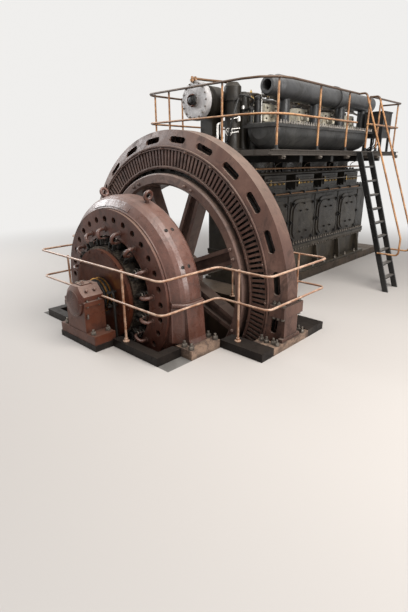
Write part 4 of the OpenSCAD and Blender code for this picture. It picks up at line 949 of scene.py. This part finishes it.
# Posts of the guard rail: along the shaft, off the shaft, and the height of the kerb under them
GUARD_POSTS = ((-2.7897, 0.63, 0.11), (-1.8197, 1.70, 0.11), (-0.5303, 1.75, 0.11), (-0.5303, 0.535, 0.16))
LADDER_FOOT = -2.11
LADDER_RUN = 0.78
LADDER_RISE = 2.43


def platform_fittings():
    feet = Shape("platform_post_feet", "black_paint", "black")
    tees = Shape("platform_post_tees", "pipe_copper", "rail")
    nuts = Shape("platform_nuts", "steel", "nut")
    for x, y in POSTS:
        feet.lathe([(0.045, 0), (0.045, 0.012), (0.024, 0.018), (0.024, 0.06), (0.017, 0.064)],
                   along((x, y, DECK_Z)), 20)
        tees.lathe([(0.006, -0.026), (0.020, -0.018), (0.026, 0), (0.020, 0.018), (0.006, 0.026)],
                   along((x, y, DECK_Z + 0.465)), 16)
        if abs(y) > 1:
            nuts.nut(along((x, copysign(1.33, y), DECK_Z - 0.10), (0, y, 0)), 0.03, 0.01)


def guard_fittings():
    feet = Shape("guard_post_feet", "pipe_copper", "guard")
    tees = Shape("guard_post_tees", "pipe_copper", "guard")
    for side in SIDES:
        for x, y, kerb in GUARD_POSTS:
            feet.lathe([(0.042, 0), (0.042, 0.01), (0.023, 0.016), (0.023, 0.045), (0.0165, 0.05)],
                       along((x, side * y, HALL_FLOOR + kerb)), 20)
            tees.lathe([(0.006, -0.024), (0.018, -0.017), (0.024, 0), (0.018, 0.017), (0.006, 0.024)],
                       along((x, side * y, HALL_FLOOR + 0.64)), 16)


def ladder_treads():
    treads = Shape("ladder_tread_plates", "steel", "stud", 0.002)
    nuts = Shape("ladder_nuts", "black_paint", "black")
    lean = atan2(LADDER_RUN, LADDER_RISE)
    for i in range(1, 10):
        h = i * LADDER_RISE / 10
        y = LADDER_FOOT + h * tan(lean) - 0.045
        treads.box((1.942, y - 0.044, HALL_FLOOR + h), (2.358, y + 0.044, HALL_FLOOR + h + 0.005))
        for x, out in ((1.94, -1), (2.36, 1)):
            nuts.nut(along((x + out * 0.04, y, HALL_FLOOR + h - 0.012), (out, 0, 0)), 0.022, 0.006)


def compressor_fittings():
    guard = Shape("compressor_hub_guard", "exciter_paint", "pedestal", 0.002)
    bolts = Shape("compressor_cover_bolts", "steel", "nut")
    hub = Shape("compressor_hub", "engine_paint", "black", 0.002)
    pipes = Shape("compressor_pipes", "engine_paint", "black")
    brown = Shape("air_delivery_pipe", "pipe_copper", "brown_pipe")
    x, y, z = -0.58, 0.24, 4.94
    for count, radius, start, forward, size, stud in ((16, 0.25, 0, 0.004, 0.022, 0.008),
                                                      (6, 0.073, 0.5, -0.013, 0.018, 0)):
        for dy, dz in circle(count, radius, start):
            bolts.nut(along((x + forward, y + dy, z + dz), TO_EXCITER), size, stud)
    section = ((0, 0.095), (0.05, 0.085), (0.05, 0.072), (0, 0.080))
    guard.rings([[along((x - 0.03 - d, y, z), TO_EXCITER) @ Vector((r * cos(t), r * sin(t), 0)) for d, r in section]
                 for t in (radians(a) for a in range(-20, 201, 20))])
    hub.lathe([(0.075, 0), (0.07, 0.02), (0.045, 0.03), (0.045, 0.06), (0.03, 0.066), (0.012, 0.066)],
              along((x - 0.035, y, z), TO_EXCITER), 28)
    pipes.pipe([(-0.28, -0.175, 4.35), (-0.38, -0.28, 4.35), (-0.38, -0.38, 4.7), (-0.2, -0.33, 4.95),
                (-0.17, -0.29, 4.95)], 0.09, 0.016, 12)
    for x, y, h, r in ((0.20, -0.40, 0.42, 0.045), (0.33, -0.30, 0.37, 0.055), (0.08, -0.36, 0.26, 0.038)):
        pipes.lathe([(r * 1.5, 0), (r * 1.5, 0.02), (r, 0.03), (r, h - 0.06), (r * 1.3, h - 0.05), (r * 1.3, h - 0.02),
                     (r * 0.5, h)], along((x, y, 4.60)), 20)
    pipes.pipe([(0.08, -0.36, 4.84), (0.08, -0.42, 4.95), (-0.12, -0.40, 5.0), (-0.16, -0.28, 5.0)], 0.06, 0.014)
    brown.pipe([(-0.62, 0.24, 5.19), (-0.62, 0.24, 5.245), (-0.35, 0.22, 5.25), (0.06, 0.20, 5.268),
                (0.30, 0.10, 5.24), (0.30, 0.06, 5.0)], 0.06, 0.019, 12)
    for x, z, r, h in ((-0.62, 5.20, 0.034, 0.07), (-0.55, 5.215, 0.030, 0.06)):
        brown.lathe([(0.012, 0), (r, 0.006), (r, 0.03), (0.02, 0.04), (0.02, h), (0.008, h + 0.005)],
                    along((x, 0.24, z)), 14)


def compressor_cocks():
    """Thin pipes, a hand wheel, cocks and cups beside the compressor."""
    cocks = Shape("compressor_cocks", "steel", "bright")
    cocks.pipe([(-0.53, -0.20, DECK_Z), (-0.53, -0.20, 4.585), (-0.44, -0.20, 4.60), (-0.44, -0.19, 4.42),
                (-0.32, -0.12, 4.40)], 0.035, 0.017, 12)
    cocks.tube([(0.265, -0.43, 4.61), (0.262, -0.43, 5.10)], 0.011)
    cocks.pipe([(0.30, -0.30, 4.70), (0.30, -0.33, 4.93), (0.44, -0.22, 4.93)], 0.05, 0.018)
    wheel = along((-0.36, -0.28, 4.475), (-0.76, -0.65, 0))
    cocks.tube([wheel @ Vector((0.052 * cos(i * pi / 8), 0.052 * sin(i * pi / 8), 0)) for i in range(17)], 0.007, 8)
    for i in range(3):
        spoke = Vector((0.05 * cos(i * pi / 3), 0.05 * sin(i * pi / 3), 0))
        cocks.tube([wheel @ -spoke, wheel @ spoke], 0.005, 6)
    cocks.lathe([(0.012, -0.08), (0.012, 0), (0.016, 0.004), (0.010, 0.016)], wheel, 12)
    for z, far in ((4.515, -0.17), (4.462, -0.20), (4.66, -0.22)):
        cocks.tube([(-0.31, -0.27, z), (far, -0.33, z + 0.02)], 0.008, 8)
        cocks.lathe([(0.006, -0.016), (0.015, -0.006), (0.015, 0.006), (0.006, 0.016)],
                    along((far, -0.33, z + 0.02)), 12)
    cocks.lathe([(0.012, 0), (0.030, 0.012), (0.030, 0.07), (0.018, 0.085), (0.018, 0.11), (0.008, 0.115)],
                along((-0.19, -0.335, 4.62)), 16)
    cocks.lathe([(0.012, 0), (0.024, 0.01), (0.024, 0.05), (0.008, 0.06)], along((-0.12, -0.36, 4.80)), 16)


def tank_fittings():
    pipes = Shape("tank_pipes", "black_paint", "black")
    for x in (3.32, 3.44, 3.56):
        pipes.pipe([(x, -1.03, DECK_Z + 0.27), (x, -1.03, DECK_Z + 0.14), (x + 0.03, -0.9, DECK_Z + 0.05),
                    (x + 0.05, -0.78, DECK_Z + 0.02)], 0.05, 0.012)


# Stage, light and camera

BACKDROP = (0.87, 0.86, 0.845)
# One half of the pit's outline in the hall's floor
PIT = ((5.35, 0.6), (-0.46, 0.6), (-0.46, 2.17), (-1.94, 2.17), (-1.94, 1.5084), (-2.86, 1.5084), (-2.86, 0.43),
       (-3.125, 0.43))
FLOOR_REACH = 60.0
# Lamps: name, place, aim, width, height, power, colour
LAMPS = (
    ("window", (-3.5, 7.5, 7.5), (0.2, 0.5, 2.6), 5, 4, 530, (0.95, 0.98, 1.0)),
    ("skylight", (-1.5, -3.5, 9.5), (0.0, 0.0, 2.5), 7, 5, 620, (1.0, 0.98, 0.95)),
    ("fill", (-8.5, -7.0, 4.5), (-0.5, 0.0, 2.6), 5, 4, 45, (1.0, 0.94, 0.88)),
    ("side", (-1.0, -9.0, 5.5), (-0.8, 0.0, 2.4), 6, 4, 560, (1.0, 0.98, 0.96)),
)


def seen_or_mirrored(tree):
    """1 for rays from the camera, and for those that gloss or glass sends on."""
    path, found = tree.nodes.new("ShaderNodeLightPath"), None
    for ray in ("Is Camera Ray", "Is Glossy Ray", "Is Transmission Ray"):
        if found is None:
            found = path.outputs[ray]
            continue
        either = tree.nodes.new("ShaderNodeMath")
        either.operation = "MAXIMUM"
        tree.links.new(found, either.inputs[0])
        tree.links.new(path.outputs[ray], either.inputs[1])
        found = either.outputs[0]
    return found


def pale_floor():
    """A plain floor that turns into the backdrop's own tone far from the plant."""
    f = Finish("pale_floor")
    f.wear(Base_Color=(0.52, 0.485, 0.455), Roughness=0.8)
    x, y = f.axis("X"), f.axis("Y")
    far = ((x * x + y * y) ** 0.5).above(4.5, 11.0) * Value(f, seen_or_mirrored(f.tree))
    glow = f.tree.nodes.new("ShaderNodeEmission")
    f.put(glow.inputs["Color"], BACKDROP)
    blend = f.tree.nodes.new("ShaderNodeMixShader")
    f.put(blend.inputs["Fac"], far)
    f.tree.links.new(f.principled.outputs[0], blend.inputs[1])
    f.tree.links.new(glow.outputs[0], blend.inputs[2])
    f.tree.links.new(blend.outputs[0], f.tree.nodes["Material Output"].inputs[0])
    return f.material


def hall_floor():
    """A plain pale floor at the hall floor's level, open over the pit, with the pit's walls below."""
    outline = list(PIT) + [(x, -y) for x, y in reversed(PIT)]
    corners = [(FLOOR_REACH * x, FLOOR_REACH * y) for x, y in ((1, 1), (-1, 1), (-1, -1), (1, -1))]
    n = len(outline)
    edges = [(i, (i + 1) % n) for i in range(n)] + [(n + i, n + (i + 1) % 4) for i in range(4)]
    mesh = bpy.data.meshes.new("hall_floor")
    mesh.from_pydata([(x, y, HALL_FLOOR) for x, y in outline + corners], edges, [])
    sheet = bmesh.new()
    sheet.from_mesh(mesh)
    bmesh.ops.triangle_fill(sheet, use_beauty=True, use_dissolve=False, edges=sheet.edges[:])
    for face in sheet.faces:
        face.normal_update()
        if face.normal.z < 0:
            face.normal_flip()
    sheet.to_mesh(mesh)
    sheet.free()
    mesh.materials.append(pale_floor())
    pit = Shape()
    for y0, y1 in ((-1.45, -0.6), (0.6, 1.45)):
        pit.box((-0.46, y0, -0.01), (-0.44, y1, HALL_FLOOR - 0.002))
    pit.box((-4.2, -3.2, -0.05), (6.4, 3.2, -0.004))
    placed("hall_floor", mesh)
    placed("pit_walls", pit.mesh("pit_walls", MADE["concrete"]))


def studio():
    world = bpy.data.worlds.new("studio")
    bpy.context.scene.world = world
    world.use_nodes = True
    tree = world.node_tree
    tree.nodes.clear()
    output = tree.nodes.new("ShaderNodeOutputWorld")
    mix = tree.nodes.new("ShaderNodeMixShader")
    tree.links.new(seen_or_mirrored(tree), mix.inputs[0])
    for socket, colour, strength in ((1, (0.92, 0.95, 1.0), 0.28), (2, BACKDROP, 1.0)):
        light = tree.nodes.new("ShaderNodeBackground")
        light.inputs["Color"].default_value = (*colour, 1)
        light.inputs["Strength"].default_value = strength
        tree.links.new(light.outputs[0], mix.inputs[socket])
    tree.links.new(mix.outputs[0], output.inputs[0])
    for name, place, aim, width, height, power, colour in LAMPS:
        data = bpy.data.lights.new(name, "AREA")
        data.shape, data.size, data.size_y, data.energy, data.color = "RECTANGLE", width, height, power, colour
        lamp = placed(name, data)
        lamp.location = place
        lamp.rotation_mode = "QUATERNION"
        lamp.rotation_quaternion = (Vector(aim) - Vector(place)).to_track_quat("-Z", "Y")


def camera():
    """The photograph's viewpoint: a place, and angles of turn, tilt and roll."""
    yaw, pitch, roll = (radians(a) for a in (43.499, 19.239, 0.509))
    ahead = Vector((cos(yaw) * cos(pitch), sin(yaw) * cos(pitch), -sin(pitch)))
    right = Vector((sin(yaw), -cos(yaw), 0))
    down = ahead.cross(right)
    right, down = right * cos(roll) + down * sin(roll), down * cos(roll) - right * sin(roll)
    data = bpy.data.cameras.new("camera")
    data.lens, data.sensor_width = 24.53, 36
    view = placed("camera", data)
    turn = Matrix((right, -down, -ahead)).transposed().to_4x4()
    view.matrix_world = Matrix.Translation((-5.692, -4.779, 4.063)) @ turn
    bpy.context.scene.camera = view


def build():
    for step in (camera, finishes, dress_nodes, exciter_fasteners, brush_holders, bearing_fittings, slip_ring_brushes,
                 alternator_fasteners, coil_ends, rotor_fasteners, bedplate_studs, door_fittings, fuel_pumps,
                 side_pipes, head_pipes, valve_gear, exhaust_studs, air_pipe_fittings, crankcase_trim,
                 platform_fittings, guard_fittings, ladder_treads, compressor_fittings, compressor_cocks,
                 tank_fittings, make_pieces, hall_floor, studio):
        step()
    bpy.context.scene.view_settings.view_transform = "Standard"


random.seed(7)
build()
